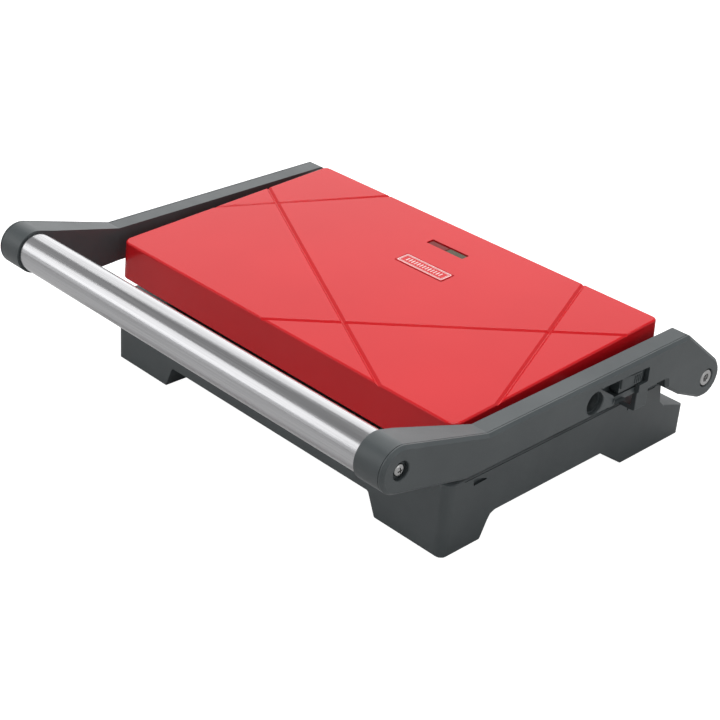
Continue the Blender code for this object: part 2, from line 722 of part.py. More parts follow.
def base_openings():
    """Cuts through the base: the plate, the bottom, the pads, the hinge rod, the gland and screws."""
    bm = bmesh.new()
    opening = rounded_box(*plate_edges(FIT), OPENING_CORNER_R)
    prism(opening, "Z", BASE_TOP - 2 * WALL, BASE_TOP + CUT, bm)
    floor = (BASE_FLOOR - CUT, BASE_FLOOR + WALL + CUT)
    x, front, rear = cover_screws()
    vent = rounded_box(x - VENT_MARGIN, front + VENT_MARGIN_Y, rear - VENT_MARGIN_Y, REFLECTOR_CORNER_R)
    prism(vent, "Z", *floor, bm)
    for corner in cover_corners():
        prism(circle(corner, CASE_SCREW[2] + GAP), "Z", *floor, bm)
    for _name, x, y, _length in foot_middles():
        prism(circle((x, y), PAD_R + GAP, 20), "Z", FOOT_BOTTOM - CUT, FOOT_BOTTOM + PAD_RECESS, bm)
    inner, outer = ear_faces()
    for low, high in ((inner, outer), (-outer, -inner)):
        prism(circle((HINGE_Y, HINGE_Z), ROD_R + GAP, 20), "X", low - CUT, high + CUT, bm)
    block(*catch_tongue(GAP), bm)
    gland = circle((-GLAND_LEFT, GLAND_Z), GLAND_R + GAP, 20)
    prism(gland, "Y", STEP_Y - 2 * WALL, STEP_Y + 2 * BASE_STEP_RUN, bm)
    return bm


def make_bottom_cover(mats):
    """A sheet with vent slots, screwed under the base between its feet."""
    high = BASE_FLOOR - GAP
    low = high - COVER_THICK
    x, front, rear = cover_screws()
    plan = rounded_box(x + COVER_MARGIN, front - COVER_MARGIN, rear + COVER_MARGIN, COVER_MARGIN)
    cover = add("base_bottom_cover", prism(plan, "Z", low, high), mats["steel_sheet"])
    slots = bmesh.new()
    for number in range(VENT_SLOTS):
        middle = (number - (VENT_SLOTS - 1) / 2) * VENT_PITCH
        corner = (middle - VENT_SLOT / 2, front + VENT_SLOT_MARGIN, low - CUT)
        block(corner, (middle + VENT_SLOT / 2, rear - VENT_SLOT_MARGIN, high + CUT), slots)
    for corner in cover_corners():
        prism(circle(corner, CASE_SCREW[2] + GAP), "Z", low - CUT, high + CUT, slots)
    shape(cover, slots)
    for number, (x, y) in enumerate(cover_corners(), 1):
        place = Matrix.Translation((x, y, low - GAP)) @ Matrix.Rotation(math.pi, 4, "X")
        screw(f"bottom_screw_{number}", CASE_SCREW, mats["bright_steel"], None, place)


def make_foot_pads(mats):
    top = FOOT_BOTTOM + PAD_RECESS - GAP
    pad = [(0, 0), (PAD_R - PAD_CHAMFER, 0), (PAD_R, PAD_CHAMFER), (PAD_R, top), (0, top)]
    for name, x, y, _length in foot_middles():
        add(f"foot_pad_{name}", turned(pad, 20), mats["rubber"], None, Matrix.Translation((x, y, 0)))


def make_gland(mats):
    """The bush in the step of the base that a mains lead leaves through."""
    flange_r, flange = GLAND_FLANGE
    inside, outside = GLAND_REACH
    profile = [
        (GLAND_BORE_R, -inside),
        (flange_r, -inside),
        (flange_r, flange - inside),
        (GLAND_R, flange - inside),
        (GLAND_R, outside - GLAND_TAPER),
        (GLAND_TIP_R, outside),
        (GLAND_BORE_R, outside),
    ]
    place = Matrix.Translation((-GLAND_LEFT, STEP_Y, GLAND_Z)) @ Matrix.Rotation(-math.pi / 2, 4, "X")
    add("cord_gland", turned(profile, 20, ring=True), mats["rubber"], None, place)


def make_terminals(mats):
    """A block inside the base, with a bore for each way."""
    length, depth, height = TERMINALS
    floor = BASE_FLOOR + WALL + GAP
    y = STEP_Y - TERMINALS_FROM_STEP
    low = (-TERMINALS_LEFT - length / 2, y - depth / 2, floor)
    solid = block(low, (low[0] + length, y + depth / 2, floor + height))
    terminals = add("terminal_block", solid, mats["nylon"])
    ways = bmesh.new()
    for way in (-1, 0, 1):
        centre = (way * TERMINAL_PITCH - TERMINALS_LEFT, floor + TERMINAL_BORE_HEIGHT)
        bore = circle(centre, TERMINAL_BORE_R, 10)
        prism(bore, "Y", y - depth / 2 - CUT, y + depth / 2 + CUT, ways)
    shape(terminals, ways)


def plate_edges(grow=0.0):
    """Half width, front and rear of a hot plate, grown by a clearance."""
    half_depth = PLATE_DEPTH / 2
    return PLATE_HALF + grow, LID_MIDDLE - half_depth - grow, LID_MIDDLE + half_depth + grow


def make_plate(name, face, out, mats, parent):
    """A ribbed casting. Its ribs end at the height `face`, and `out` is +1 where they point up."""
    levels = (face, face - out * (PLATE_PROUD + WALL + GAP))
    back = face - out * PLATE_THICK
    flange_back = levels[1] - out * FLANGE_THICK
    rim = rounded_box(*plate_edges(), PLATE_CORNER_R)
    skirt = rounded_box(*plate_edges(FLANGE), PLATE_CORNER_R)
    outlines = [rim, rim, skirt, skirt, rim, rim]
    heights = [levels[0], levels[1], levels[1], flange_back, flange_back, back]
    plate = add(name, stack(outlines, heights), mats["cast_aluminium"], parent)
    half, front, rear = plate_edges(-PLATE_EDGE)
    cuts = bmesh.new()
    count = int(2 * half / RIB_PITCH)
    low, high = sorted((face - out * RIB_DEPTH, face + out * CUT))
    for i in range(count):
        middle = (i - (count - 1) / 2) * RIB_PITCH
        block((middle - RIB_GROOVE / 2, front, low), (middle + RIB_GROOVE / 2, rear, high), cuts)
    shape(plate, cuts)


def element_points():
    """The route of a heating element: a long loop with both ends at the rear."""
    half, front, rear = plate_edges(-ELEMENT_INSET)
    radius = ELEMENT_BEND_R
    points = [(half, rear + ELEMENT_TAIL)]
    points += arc((half - radius, front + radius), radius, 0, -math.pi / 2, 6)
    points += arc((radius - half, front + radius), radius, -math.pi / 2, -math.pi, 6)
    points.append((-half, rear + ELEMENT_TAIL))
    return points


def make_element(name, z, mats, parent):
    curve = bpy.data.curves.new(name, "CURVE")
    curve.dimensions = "3D"
    curve.bevel_depth = ELEMENT_R
    curve.bevel_resolution = 2
    curve.use_fill_caps = True
    points = element_points()
    spline = curve.splines.new("POLY")
    spline.points.add(len(points) - 1)
    for slot, (x, y) in zip(spline.points, points):
        slot.co = (x, y, z, 1)
    curve.materials.append(mats["bright_steel"])
    obj = bpy.data.objects.new(name, curve)
    bpy.context.collection.objects.link(obj)
    if parent:
        obj.parent = parent
        obj.matrix_parent_inverse = Matrix.Translation(-Vector(parent["at"]))


def make_reflector(name, back, out, mats, parent):
    """A folded sheet pan that opens towards its plate, beyond the element."""
    near = back - out * (GAP + REFLECTOR_OFF_PLATE)
    far = near - out * REFLECTOR_HEIGHT
    outer = rounded_box(*plate_edges(-REFLECTOR_INSET), REFLECTOR_CORNER_R)
    inner = plate_edges(-REFLECTOR_INSET - REFLECTOR_SHEET)
    inner = rounded_box(*inner, REFLECTOR_CORNER_R - REFLECTOR_SHEET)
    outlines = [outer, outer, inner, inner]
    heights = [far, near, near, far + out * REFLECTOR_SHEET]
    pan = add(name, stack(outlines, heights), mats["steel_sheet"], parent)
    notch = bmesh.new()
    half, _front, rear = plate_edges(-ELEMENT_INSET)
    low, high = sorted((far + out * (REFLECTOR_SHEET + FIT), near + out * CUT))
    reach = rear + ELEMENT_INSET - REFLECTOR_INSET
    wide = ELEMENT_R + 2 * FIT
    deep = 4 * REFLECTOR_SHEET
    for x in (-half, half):
        block((x - wide, reach - deep, low), (x + wide, reach + deep, high), notch)
    shape(pan, notch)


def make_heater(side, face, out, mats, parent):
    back = face - out * PLATE_THICK
    make_plate(f"{side}_grill_plate", face, out, mats, parent)
    make_element(f"{side}_heating_element", back - out * (ELEMENT_R + GAP), mats, parent)
    make_reflector(f"{side}_heat_reflector", back, out, mats, parent)
    body_r, body = THERMOSTAT_BODY
    cap_r, cap = THERMOSTAT_CAP
    profile = [(0, 0), (body_r, 0), (body_r, body), (cap_r, body + GAP), (cap_r, cap), (0, cap)]
    place = Matrix.Translation((0, LID_MIDDLE, back - out * GAP))
    if out > 0:
        place = place @ Matrix.Rotation(math.pi, 4, "X")
    add(f"{side}_thermostat", turned(profile), mats["nylon"], parent, place)


def lid_top(y, drop=0.0):
    return LID_TOP_FRONT + (y - LID_FRONT) * LID_SLOPE - drop


def on_lid(offset):
    """A point on the lid's top from its middle line and its rear edge."""
    x, from_rear = offset
    y = LID_REAR - from_rear
    return x, y, lid_top(y)


def groove_lines():
    """Ends of the lid's four crossing grooves, as shares of its half width and of its depth."""
    half, depth = LID_HALF - LID_DRAFT, LID_REAR - LID_FRONT

    def at(x, y):
        return x * half, LID_FRONT + y * depth

    return (
        (at(-1.012, 0.699), at(0.668, -0.022)),
        (at(-1.028, 0.391), at(-0.547, 1.011)),
        (at(-0.096, -0.020), at(1.020, 0.841)),
        (at(0.592, 1.019), at(1.012, 0.174)),
    )


def groove_cut(start, end, depth):
    """A V-shaped prism along one groove, following the slope of the top."""
    bm = bmesh.new()
    run = Vector((end[0] - start[0], end[1] - start[1], 0)).normalized()
    across = Vector((-run.y, run.x, 0)) * GROOVE_WIDTH / 2
    wide = 1 + GROOVE_RISE / depth
    section = ((-wide, GROOVE_RISE), (wide, GROOVE_RISE), (0, -depth))
    rings = []
    for x, y in (start, end):
        rings.append([])
        for share, up in section:
            point = Vector((x, y, 0)) + across * share
            point.z = lid_top(point.y) + up
            rings[-1].append(bm.verts.new(point))
    for i in range(3):
        j = (i + 1) % 3
        bm.faces.new((rings[0][i], rings[0][j], rings[1][j], rings[1][i]))
    bm.faces.new(rings[0])
    bm.faces.new(rings[1])
    return bm


def lid_screw_places():
    """Where the frame is screwed to the lid, in X and Y."""
    half, front, rear = plate_edges(FLANGE + PILLAR_R + FIT)
    return [(sx * (half - PILLAR_FROM_PLATE_SIDE), y) for y in (front, rear) for sx in (-1, 1)]


def lid_outline(side, end):
    """The lid's plan, drawn in by one amount at its sides and another at its front and rear."""
    front_r, rear_r = LID_FRONT_CORNER_R - end, LID_REAR_CORNER_R - end
    return rounded_box(LID_HALF - side, LID_FRONT + end, LID_REAR - end, front_r, 5, rear_r)


def make_lid_cover(mats, lid):
    taper = LID_DRAFT / 2
    outlines = [
        lid_outline(LID_DRAFT + LID_WALL, taper + LID_WALL - GAP),
        lid_outline(LID_WALL, LID_WALL - GAP),
        lid_outline(0.0, 0.0),
        lid_outline(LID_DRAFT, taper),
        lid_outline(LID_DRAFT + LID_EDGE, taper + LID_EDGE),
    ]
    heights = [
        lambda y: lid_top(y, LID_WALL),
        LID_BOTTOM,
        LID_BOTTOM,
        lambda y: lid_top(y, LID_EDGE),
        lid_top,
    ]
    cover = add("lid_cover", stack(outlines, heights), mats["red_plastic"], lid)
    pillars = bmesh.new()
    for corner in lid_screw_places():
        foot, head = FRAME_BOTTOM + WALL + GAP, lid_top(corner[1], LID_WALL / 2)
        prism(circle(corner, PILLAR_R, 12), "Z", foot, head, pillars)
    shape(cover, pillars, "UNION")
    for number, (start, end) in enumerate(groove_lines()):
        shape(cover, groove_cut(start, end, GROOVE_DEPTH - GROOVE_STAGGER * number))
    cuts = bmesh.new()
    x, y, z = on_lid(WINDOW_AT)
    half_x, half_y = LENS_LENGTH + FIT, LENS_DEPTH / 2 + FIT
    block((x - half_x, y - half_y, z - 2 * LID_WALL), (x + half_x, y + half_y, z + 2 * CUT), cuts)
    for corner in lid_screw_places():
        bore = (FRAME_BOTTOM - CUT, FRAME_BOTTOM + CASE_SCREW[3] + 4 * CUT)
        prism(circle(corner, CASE_SCREW[2] + GAP), "Z", *bore, cuts)
    reach = LID_HALF + CUT
    hole = circle((PIVOT_Y, PIVOT_Z), BOSS_R + FIT, 20)
    prism(hole, "X", -reach, BOSS_HOLE_DEPTH - reach, cuts)
    prism(hole, "X", reach - BOSS_HOLE_DEPTH, reach, cuts)
    shape(cover, cuts)
    shape(cover, badge_solid(FIT, BADGE_SUNK))


def badge_solid(grow, sunk):
    """The badge's own solid, or the recess for it, tilted with the lid's top."""
    x, y, z = on_lid(BADGE_AT)
    half_x, half_y = BADGE_SIZE[0] / 2 + grow, BADGE_SIZE[1] / 2 + grow
    top = CUT if grow else BADGE_SIZE[2] - sunk
    bm = block((-half_x, -half_y, -sunk), (half_x, half_y, top))
    tilt = Matrix.Translation((x, y, z)) @ Matrix.Rotation(math.atan(LID_SLOPE), 4, "X")
    bm.transform(tilt)
    return bm


def make_lid_frame(mats, lid):
    half, front, rear = LID_HALF - FRAME_INSET, LID_FRONT + FRAME_INSET, LID_REAR - FRAME_INSET
    outer = rounded_box(half, front, rear, FRAME_CORNER_R)
    inner = rounded_box(half - WALL, front + WALL, rear - WALL, FRAME_INNER_R)
    opening = rounded_box(*plate_edges(FIT), OPENING_CORNER_R)
    top = FRAME_BOTTOM + FRAME_HEIGHT
    outlines = [opening, outer, outer, inner, inner, opening]
    heights = [FRAME_BOTTOM, FRAME_BOTTOM, top, top, FRAME_BOTTOM + WALL, FRAME_BOTTOM + WALL]
    frame = add("lid_frame", stack(outlines, heights, closed_ring=True), mats["black_plastic"], lid)
    cuts = bmesh.new()
    for x, y in lid_screw_places():
        prism(circle((x, y), CASE_SCREW[2] + GAP), "Z", FRAME_BOTTOM - CUT, FRAME_BOTTOM + WALL + CUT, cuts)
    shape(frame, cuts)
    for number, (x, y) in enumerate(lid_screw_places(), 1):
        place = Matrix.Translation((x, y, FRAME_BOTTOM - GAP)) @ Matrix.Rotation(math.pi, 4, "X")
        screw(f"lid_screw_{number}", CASE_SCREW, mats["bright_steel"], lid, place)


def make_lid_pivots(mats, lid):
    inner = LID_HALF - BOSS_IN_LID
    length = ARM_IN - GAP - inner
    hole = PIVOT_SCREW[2] + GAP
    collar_r, collar = BOSS_COLLAR
    boss = [
        (hole, 0), (collar_r, 0), (collar_r, collar), (BOSS_R, collar), (BOSS_R, length), (hole, length),
    ]
    for side, sign in SIDES:
        place = along_x(sign * inner, PIVOT_Y, PIVOT_Z, sign)
        add(f"pivot_boss_{side}", turned(boss, 20, ring=True), mats["black_plastic"], lid, place)
        seat = BAR_OUT - PIVOT_SEAT_DEPTH + GAP
        place = along_x(sign * seat, PIVOT_Y, PIVOT_Z, sign)
        size = (*PIVOT_SCREW, seat - inner + FIT)
        screw(f"pivot_screw_{side}", size, mats["bright_steel"], lid, place)


def make_window(mats, lid):
    """Two lenses side by side in the lid, tilted with its top."""
    place = Matrix.Translation(on_lid(WINDOW_AT)) @ Matrix.Rotation(math.atan(LID_SLOPE), 4, "X")
    for name, sign, mat in (("power_lens", -1, "red_lens"), ("ready_lens", 1, "green_lens")):
        near, far = sorted((sign * GAP / 2, sign * LENS_LENGTH))
        bm = block((near, -LENS_DEPTH / 2, -LENS_THICK), (far, LENS_DEPTH / 2, -LENS_SUNK))
        bm.transform(place)
        add(name, bm, mats[mat], lid)


def make_lamps(mats, lid):
    """A holder under the window, with a lamp below each lens."""
    x, y, z = on_lid(WINDOW_AT)
    length, depth, height = LAMP_HOLDER
    top = z - LENS_THICK - LID_SLOPE * depth / 2 - GAP - CUT
    floor = top - height
    solid = block((x - length / 2, y - depth / 2, floor), (x + length / 2, y + depth / 2, top))
    holder = add("lamp_holder", solid, mats["black_plastic"], lid)
    wells = bmesh.new()
    seat = floor + LAMP_HOLDER_FLOOR
    lamp = [(0, 0), (LAMP_R, 0), (LAMP_R, LAMP_SHOULDER), (LAMP_R / 2, LAMP_HEIGHT - GAP), (0, LAMP_HEIGHT)]
    for name, sign in (("power_lamp", -1), ("ready_lamp", 1)):
        at = x + sign * LENS_LENGTH / 2
        prism(circle((at, y), LAMP_R + GAP), "Z", seat, top + CUT, wells)
        add(name, turned(lamp, 12), mats["glass"], lid, Matrix.Translation((at, y, seat + GAP)))
    shape(holder, wells)


def make_lock(mats, lock):
    """The slide: a body behind the cover, a knob through its window, a leg and a toe beside the catch."""
    inner = BAR_OUT - LOCK_POCKET + GAP
    body = block((inner, LOCK_FRONT, LOCK_BOTTOM), (BAR_OUT - GAP, LOCK_REAR, LOCK_TOP))
    slide = add("lock_slider", body, mats["black_plastic"], lock)
    front, rear = PIVOT_Y + LOCK_KNOB[0], PIVOT_Y + LOCK_KNOB[1]
    low, high = ARM_BOTTOM + LOCK_KNOB_HEIGHT[0], ARM_BOTTOM + LOCK_KNOB_HEIGHT[1]
    knob = block((BAR_OUT - 2 * CUT, front, low), (HALF - LOCK_KNOB_SUNK, rear, high))
    shape(slide, knob, "UNION")
    leg_top = LOCK_BOTTOM + 2 * CUT
    tip = BASE_HALF + TOE_REACH
    leg = [
        (inner, leg_top),
        (inner + LOCK_LEG_THICK, leg_top),
        (inner + LOCK_LEG_THICK, TOE_BOTTOM),
        (tip, TOE_BOTTOM),
        (tip, TOE_BOTTOM + TOE_THICK),
        (inner, TOE_BOTTOM + TOE_THICK),
    ]
    shape(slide, prism(leg, "Y", LEG_FRONT, LEG_REAR), "UNION")


def main():
    clear_scene()
    mats = make_finishes()
    arms = pivot("arms_axis", (0, HINGE_Y, HINGE_Z))
    lid = pivot("lid_axis", (0, PIVOT_Y, PIVOT_Z), arms)
    lock = pivot("lock_axis", (BAR_OUT, LOCK_FRONT, (LOCK_BOTTOM + LOCK_TOP) / 2), arms)
    make_base(mats)
    make_bottom_cover(mats)
    make_foot_pads(mats)
    make_gland(mats)
    make_terminals(mats)
    make_catch(mats)
    make_heater("lower", LOWER_TOP, 1, mats, None)
    for side, sign in SIDES:
        make_arm(side, sign, mats, arms)
        make_arm_cover(side, sign, mats, arms)
    make_handle(mats, arms)
    make_hinge(mats, arms)
    make_lid_cover(mats, lid)
    make_lid_frame(mats, lid)
    make_heater("upper", UPPER_BOTTOM, -1, mats, lid)
    make_lid_pivots(mats, lid)
    make_window(mats, lid)
    make_lamps(mats, lid)
    add("badge_plate", badge_solid(0.0, BADGE_SUNK - GAP), mats["badge_print"], lid)
    make_lock(mats, lock)


main()
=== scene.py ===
"""The finished surface of a panini press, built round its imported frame. Metres, +Z up.

X runs across the press, the handle is at -Y and the hinge at +Y. Sizes that the frame holds are read from it.
"""

import json
import math

import bmesh
import bpy
from mathutils import Matrix, Vector


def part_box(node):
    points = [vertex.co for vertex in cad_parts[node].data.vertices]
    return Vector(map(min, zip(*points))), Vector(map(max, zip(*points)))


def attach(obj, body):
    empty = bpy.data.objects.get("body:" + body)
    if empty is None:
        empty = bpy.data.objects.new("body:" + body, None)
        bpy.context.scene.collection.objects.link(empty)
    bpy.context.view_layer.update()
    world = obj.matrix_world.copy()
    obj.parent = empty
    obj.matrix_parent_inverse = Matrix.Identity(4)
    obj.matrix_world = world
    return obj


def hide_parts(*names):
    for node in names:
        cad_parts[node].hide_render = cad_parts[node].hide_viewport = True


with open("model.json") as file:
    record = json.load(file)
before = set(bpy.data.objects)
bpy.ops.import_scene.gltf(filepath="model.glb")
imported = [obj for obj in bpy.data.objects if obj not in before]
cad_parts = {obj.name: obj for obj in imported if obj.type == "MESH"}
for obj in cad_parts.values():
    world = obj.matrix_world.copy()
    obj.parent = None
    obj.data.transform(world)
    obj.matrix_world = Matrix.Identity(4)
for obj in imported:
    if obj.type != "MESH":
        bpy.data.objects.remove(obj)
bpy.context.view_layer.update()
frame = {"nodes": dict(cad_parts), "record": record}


def low(node):
    return Vector(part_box(node)[0])


def high(node):
    return Vector(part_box(node)[1])


def middle(node):
    return (low(node) + high(node)) / 2


# Read from the frame
HALF = high("arm_cover_right").x
SEAM = low("arm_cover_right").x
BAR_OUT = high("arm_right").x
LOBE_IN = low("arm_right").x
HANDLE = middle("handle_tube")
TUBE_R = high("handle_tube").z - HANDLE.z
FRONT_LOBE_R = high("arm_cover_right").z - HANDLE.z
HINGE = middle("hinge_rod")
ROD_R = high("hinge_rod").z - HINGE.z
REAR_LOBE_R = high("arm_cover_right").y - HINGE.y
PIVOT = middle("pivot_boss_right")
LID_LOW = low("lid_cover")
LID_HIGH = high("lid_cover")
BASE_LOW = low("base_shell")
BASE_HIGH = high("base_shell")
LOCK_LOW = low("lock_slider")
LOCK_HIGH = high("lock_slider")

# Arms
ARM_BAR = 0.0098
ARM_IN = BAR_OUT - ARM_BAR
ARM_TOP_FRONT = 0.0803
ARM_TOP_REAR = 0.0816
ARM_BOTTOM = 0.0603
BEND_BEHIND_LID_FRONT = 0.0043
REAR_SHOULDER = 0.023
BELLY = (0.024, 0.0024)  # forward of and below the hinge axis
HOOK = (0.0121, 0.0057)  # forward of the lid's rear edge, and below the arm
HOOK_TOP = 0.0136
CHIN_AHEAD_OF_LID = 0.0087
CHIN = (0.027, 0.0047)
COVER_CHAMFER = 0.0016
ARM_EDGE = 0.0005
COVER_EDGE = 0.00022
HANDLE_HOLE_R = 0.0020
HINGE_HOLE_R = 0.0048
PIVOT_HOLE_R = 0.0028
PIVOT_BOSS_R = 0.0058
PIVOT_COLLAR_R = 0.0078
PIVOT_COLLAR = 0.003
PIVOT_SINK_R = 0.0063  # the round seats in the sides of the lid's cover
PIVOT_SINK = 0.006
WELL_HANDLE_R = 0.0050
WELL_HINGE_R = 0.0054
WELL_PIVOT_R = 0.0065
PIVOT_SEAT_R = 0.0056
PIVOT_SEAT_DEPTH = 0.0052
WELL_FLARE = 0.0005

# Transport lock in the right arm. Places along Y are from the lid's pivot, and heights from an arm's bottom
LOCK_TRAVEL = 0.0065
LOCK_HEIGHT = (0.0042, 0.0138)
LOCK_KNOB = (0.0236, 0.0400)
LOCK_KNOB_HEIGHT = (0.0068, 0.0132)
LOCK_LEG = (0.0446, 0.0546)
LOCK_LEG_THICK = 0.0030
LOCK_POCKET = 0.0062
LOCK_FINGER_ROOM = 0.0085
WINDOW_DIAGONAL = ((0.0028, 0.0154), (0.0172, 0.0059))
WINDOW_SILL = (0.0160, 0.0276, 0.0012)  # front, rear and height
WINDOW_REAR = (0.0372, 0.0440)
WINDOW_REAR_HEIGHT = 0.0058
WINDOW_TOP = 0.0146
BELOW_ARM = 0.005
SCOOP_REACH = 0.0046
SCOOP_DEPTH = 0.0015
TOE_THICK = 0.0030
TONGUE_INSET = 0.0016
TONGUE_THICK = 0.0018

# Lid
LID_TOP_FRONT = 0.0767
LID_DRAFT = 0.0013
LID_FRONT_CORNER_R = 0.0068
LID_REAR_CORNER_R = 0.0043
LID_EDGE_R = 0.0013
LID_WALL = 0.0022
LID_SLOPE = (LID_HIGH.z - LID_TOP_FRONT) / (LID_HIGH.y - LID_LOW.y)
GROOVE_HALF = 0.0013
GROOVE_LIP = 0.0003
GROOVE_DEPTH = 0.0013
GROOVE_STAGGER = 0.00004
WINDOW_FROM_REAR = 0.0270
LENS_HALF = 0.0024
LENS_THICK = 0.0034
LENS_SUNK = 0.0006
BADGE_AT = (0.0070, 0.0535)  # along X, and forward of the lid's rear edge
BADGE_SIZE = (0.0355, 0.0102)
BADGE_DEPTH = 0.0005

# Base
BASE_TOP = 0.0435
BASE_FLOOR = 0.0155
BASE_REAR_TOP = 0.0190
STEP_FRONT = 0.1050
STEP_RUN = 0.0067
STEP_FOOT_RUN = STEP_RUN * 0.3
STEP_FOOT = 0.0307
STEP_TOP = 0.0264
BASE_CORNER_R = 0.006
BASE_EDGE = 0.0009  # under every outward corner radius of its side
WALL = 0.0025
FOOT_WIDTH = 0.0467
FRONT_FOOT = (0.0296, 0.0090)  # length and the run of its sloping flank
REAR_FOOT = (0.0556, 0.0205)
FOOT_SIDE_FLANK = 0.0060
EAR_R = 0.008
EAR_THICK = 0.012
EAR_OUT = 0.0887
GLAND_BORE_R = 0.0048
PAD_SEAT_R = 0.0073
PAD_SEAT = 0.0010
SLIT = (0.0752, 0.0762)  # from and to along Y
SLIT_BOTTOM = 0.0360
SLIT_DEPTH = 0.0018
# Y and Z of its corners
NOTCH = ((-0.0478, 0.0376), (-0.0382, 0.0380), (-0.0382, 0.0386), (-0.0482, 0.0420))
NOTCH_DEPTH = 0.0016
RIM_LINE = (0.0012, 0.0007)  # the fine line along the side, both edges below the deck
RIM_LINE_ENDS = (0.012, 0.006)
RIM_LINE_DEPTH = 0.0005
VENT_COUNT = 7
VENT_PITCH = 0.016
VENT_HALF = 0.002
VENT_MARGIN = 0.022

# Hot plates
PLATE_FLANGE = 0.0030
FLANGE_THICK = 0.0025
PLATE_STEP = 0.0058
PLATE_EDGE = 0.0070
PLATE_CORNER_R = 0.0075
OPENING_CORNER_R = 0.008
RIB_PITCH = 0.0096
RIB_WIDTH = 0.0044
RIB_DEPTH = 0.0028

# Screws: head radius, head height and shank radius
HANDLE_SCREW = (0.0032, 0.0018, 0.0017)
PIVOT_SCREW = (0.0042, 0.0022, 0.0025)
COVER_SCREW = (0.0028, 0.0014, 0.0014)
COVER_SCREW_SHANK = 0.0080
LID_SCREW_HOLE_R = 0.0018
BOTTOM_SCREW_HOLE_R = 0.0017
HINGE_HEAD = (0.0049, 0.0022)
HINGE_SHANK = 0.0198

# Clearances
FIT = 0.0005
GAP = 0.0003
CUT = 0.001  # how far a cutter passes the face that it cuts

# How fine round shapes are
FINE = 96
ROUND = 48


# ---- finishes


class Finish:
    """A procedural material, built up round one Principled shader on Object coordinates."""

    def __init__(self, name, **sockets):
        self.mat = bpy.data.materials.new(name)
        self.mat.use_nodes = True
        self.nodes = self.mat.node_tree.nodes
        self.links = self.mat.node_tree.links
        self.shader = self.nodes["Principled BSDF"]
        self.coords = self.nodes.new("ShaderNodeTexCoord").outputs["Object"]
        self.normal = None
        for socket, value in sockets.items():
            self.shader.inputs[socket.replace("_", " ")].default_value = value

    def node(self, kind, **inputs):
        made = self.nodes.new(kind)
        for key, value in inputs.items():
            socket = made.inputs[key.replace("_", " ")]
            if isinstance(value, bpy.types.NodeSocket):
                self.links.new(value, socket)
            else:
                socket.default_value = value
        return made

    def stretched(self, scale):
        return self.node("ShaderNodeMapping", Vector=self.coords, Scale=scale).outputs["Vector"]

    def noise(self, scale, detail=3.0, rough=0.5, stretch=None, distortion=0.0):
        vector = self.stretched(stretch) if stretch else self.coords
        made = self.node("ShaderNodeTexNoise", Vector=vector, Scale=scale, Detail=detail, Roughness=rough,
                         Distortion=distortion)
        return made.outputs["Fac"]

    def cells(self, scale):
        return self.node("ShaderNodeTexVoronoi", Vector=self.coords, Scale=scale).outputs["Distance"]

    def spread(self, factor, low_in, high_in, low_out, high_out):
        made = self.node("ShaderNodeMapRange", Value=factor, From_Min=low_in, From_Max=high_in,
                         To_Min=low_out, To_Max=high_out)
        return made.outputs["Result"]

    def times(self, first, second, operation="MULTIPLY"):
        made = self.nodes.new("ShaderNodeMath")
        made.operation = operation
        for socket, value in zip(made.inputs, (first, second)):
            if isinstance(value, bpy.types.NodeSocket):
                self.links.new(value, socket)
            else:
                socket.default_value = value
        return made.outputs[0]

    def tint(self, factor, dark, light, low_in=0.35, high_in=0.65):
        ramp = self.node("ShaderNodeValToRGB", Fac=factor)
        ramp.color_ramp.elements[0].position = low_in
        ramp.color_ramp.elements[1].position = high_in
        ramp.color_ramp.elements[0].color = (*dark, 1)
        ramp.color_ramp.elements[1].color = (*light, 1)
        return ramp.outputs["Color"]

    def feed(self, socket, output):
        self.links.new(output, self.shader.inputs[socket])

    def relief(self, height, strength, depth):
        bump = self.node("ShaderNodeBump", Height=height, Strength=strength, Distance=depth)
        if self.normal:
            self.links.new(self.normal, bump.inputs["Normal"])
        self.normal = bump.outputs["Normal"]
        self.links.new(self.normal, self.shader.inputs["Normal"])


def moulded_plastic(name="black_plastic"):
    """Satin black plastic with a fine spark-eroded grain and faint handling marks."""
    f = Finish(name, IOR=1.58)
    cloud = f.noise(22.0, 4.0, 0.6)
    f.feed("Base Color", f.tint(cloud, (0.046, 0.056, 0.059), (0.058, 0.069, 0.072)))
    grain = f.noise(2600.0, 2.0, 0.6)
    rub = f.noise(14.0, 5.0, 0.7, distortion=0.8)
    f.feed("Roughness", f.times(f.spread(rub, 0.3, 0.7, 0.34, 0.46), f.spread(grain, 0.2, 0.8, 0.94, 1.06)))
    f.relief(grain, 0.16, 0.00006)
    f.relief(f.noise(60.0, 2.0), 0.05, 0.0004)
    return f.mat


def gloss_red():
    """Glossy red plastic: a slight orange peel under the gloss and hairline marks from wiping."""
    f = Finish("red_plastic", IOR=1.33)
    cloud = f.noise(9.0, 3.0, 0.5)
    f.feed("Base Color", f.tint(cloud, (0.600, 0.008, 0.013), (0.640, 0.011, 0.016)))
    peel = f.noise(190.0, 2.0, 0.5)
    wipe = f.noise(34.0, 6.0, 0.75, stretch=(1.0, 14.0, 1.0), distortion=0.4)
    hair = f.spread(wipe, 0.56, 0.70, 0.0, 1.0)
    smear = f.noise(11.0, 4.0, 0.6)
    f.feed("Roughness", f.times(f.spread(smear, 0.3, 0.7, 0.17, 0.23), f.times(hair, 0.06), "ADD"))
    f.relief(peel, 0.05, 0.0002)
    return f.mat


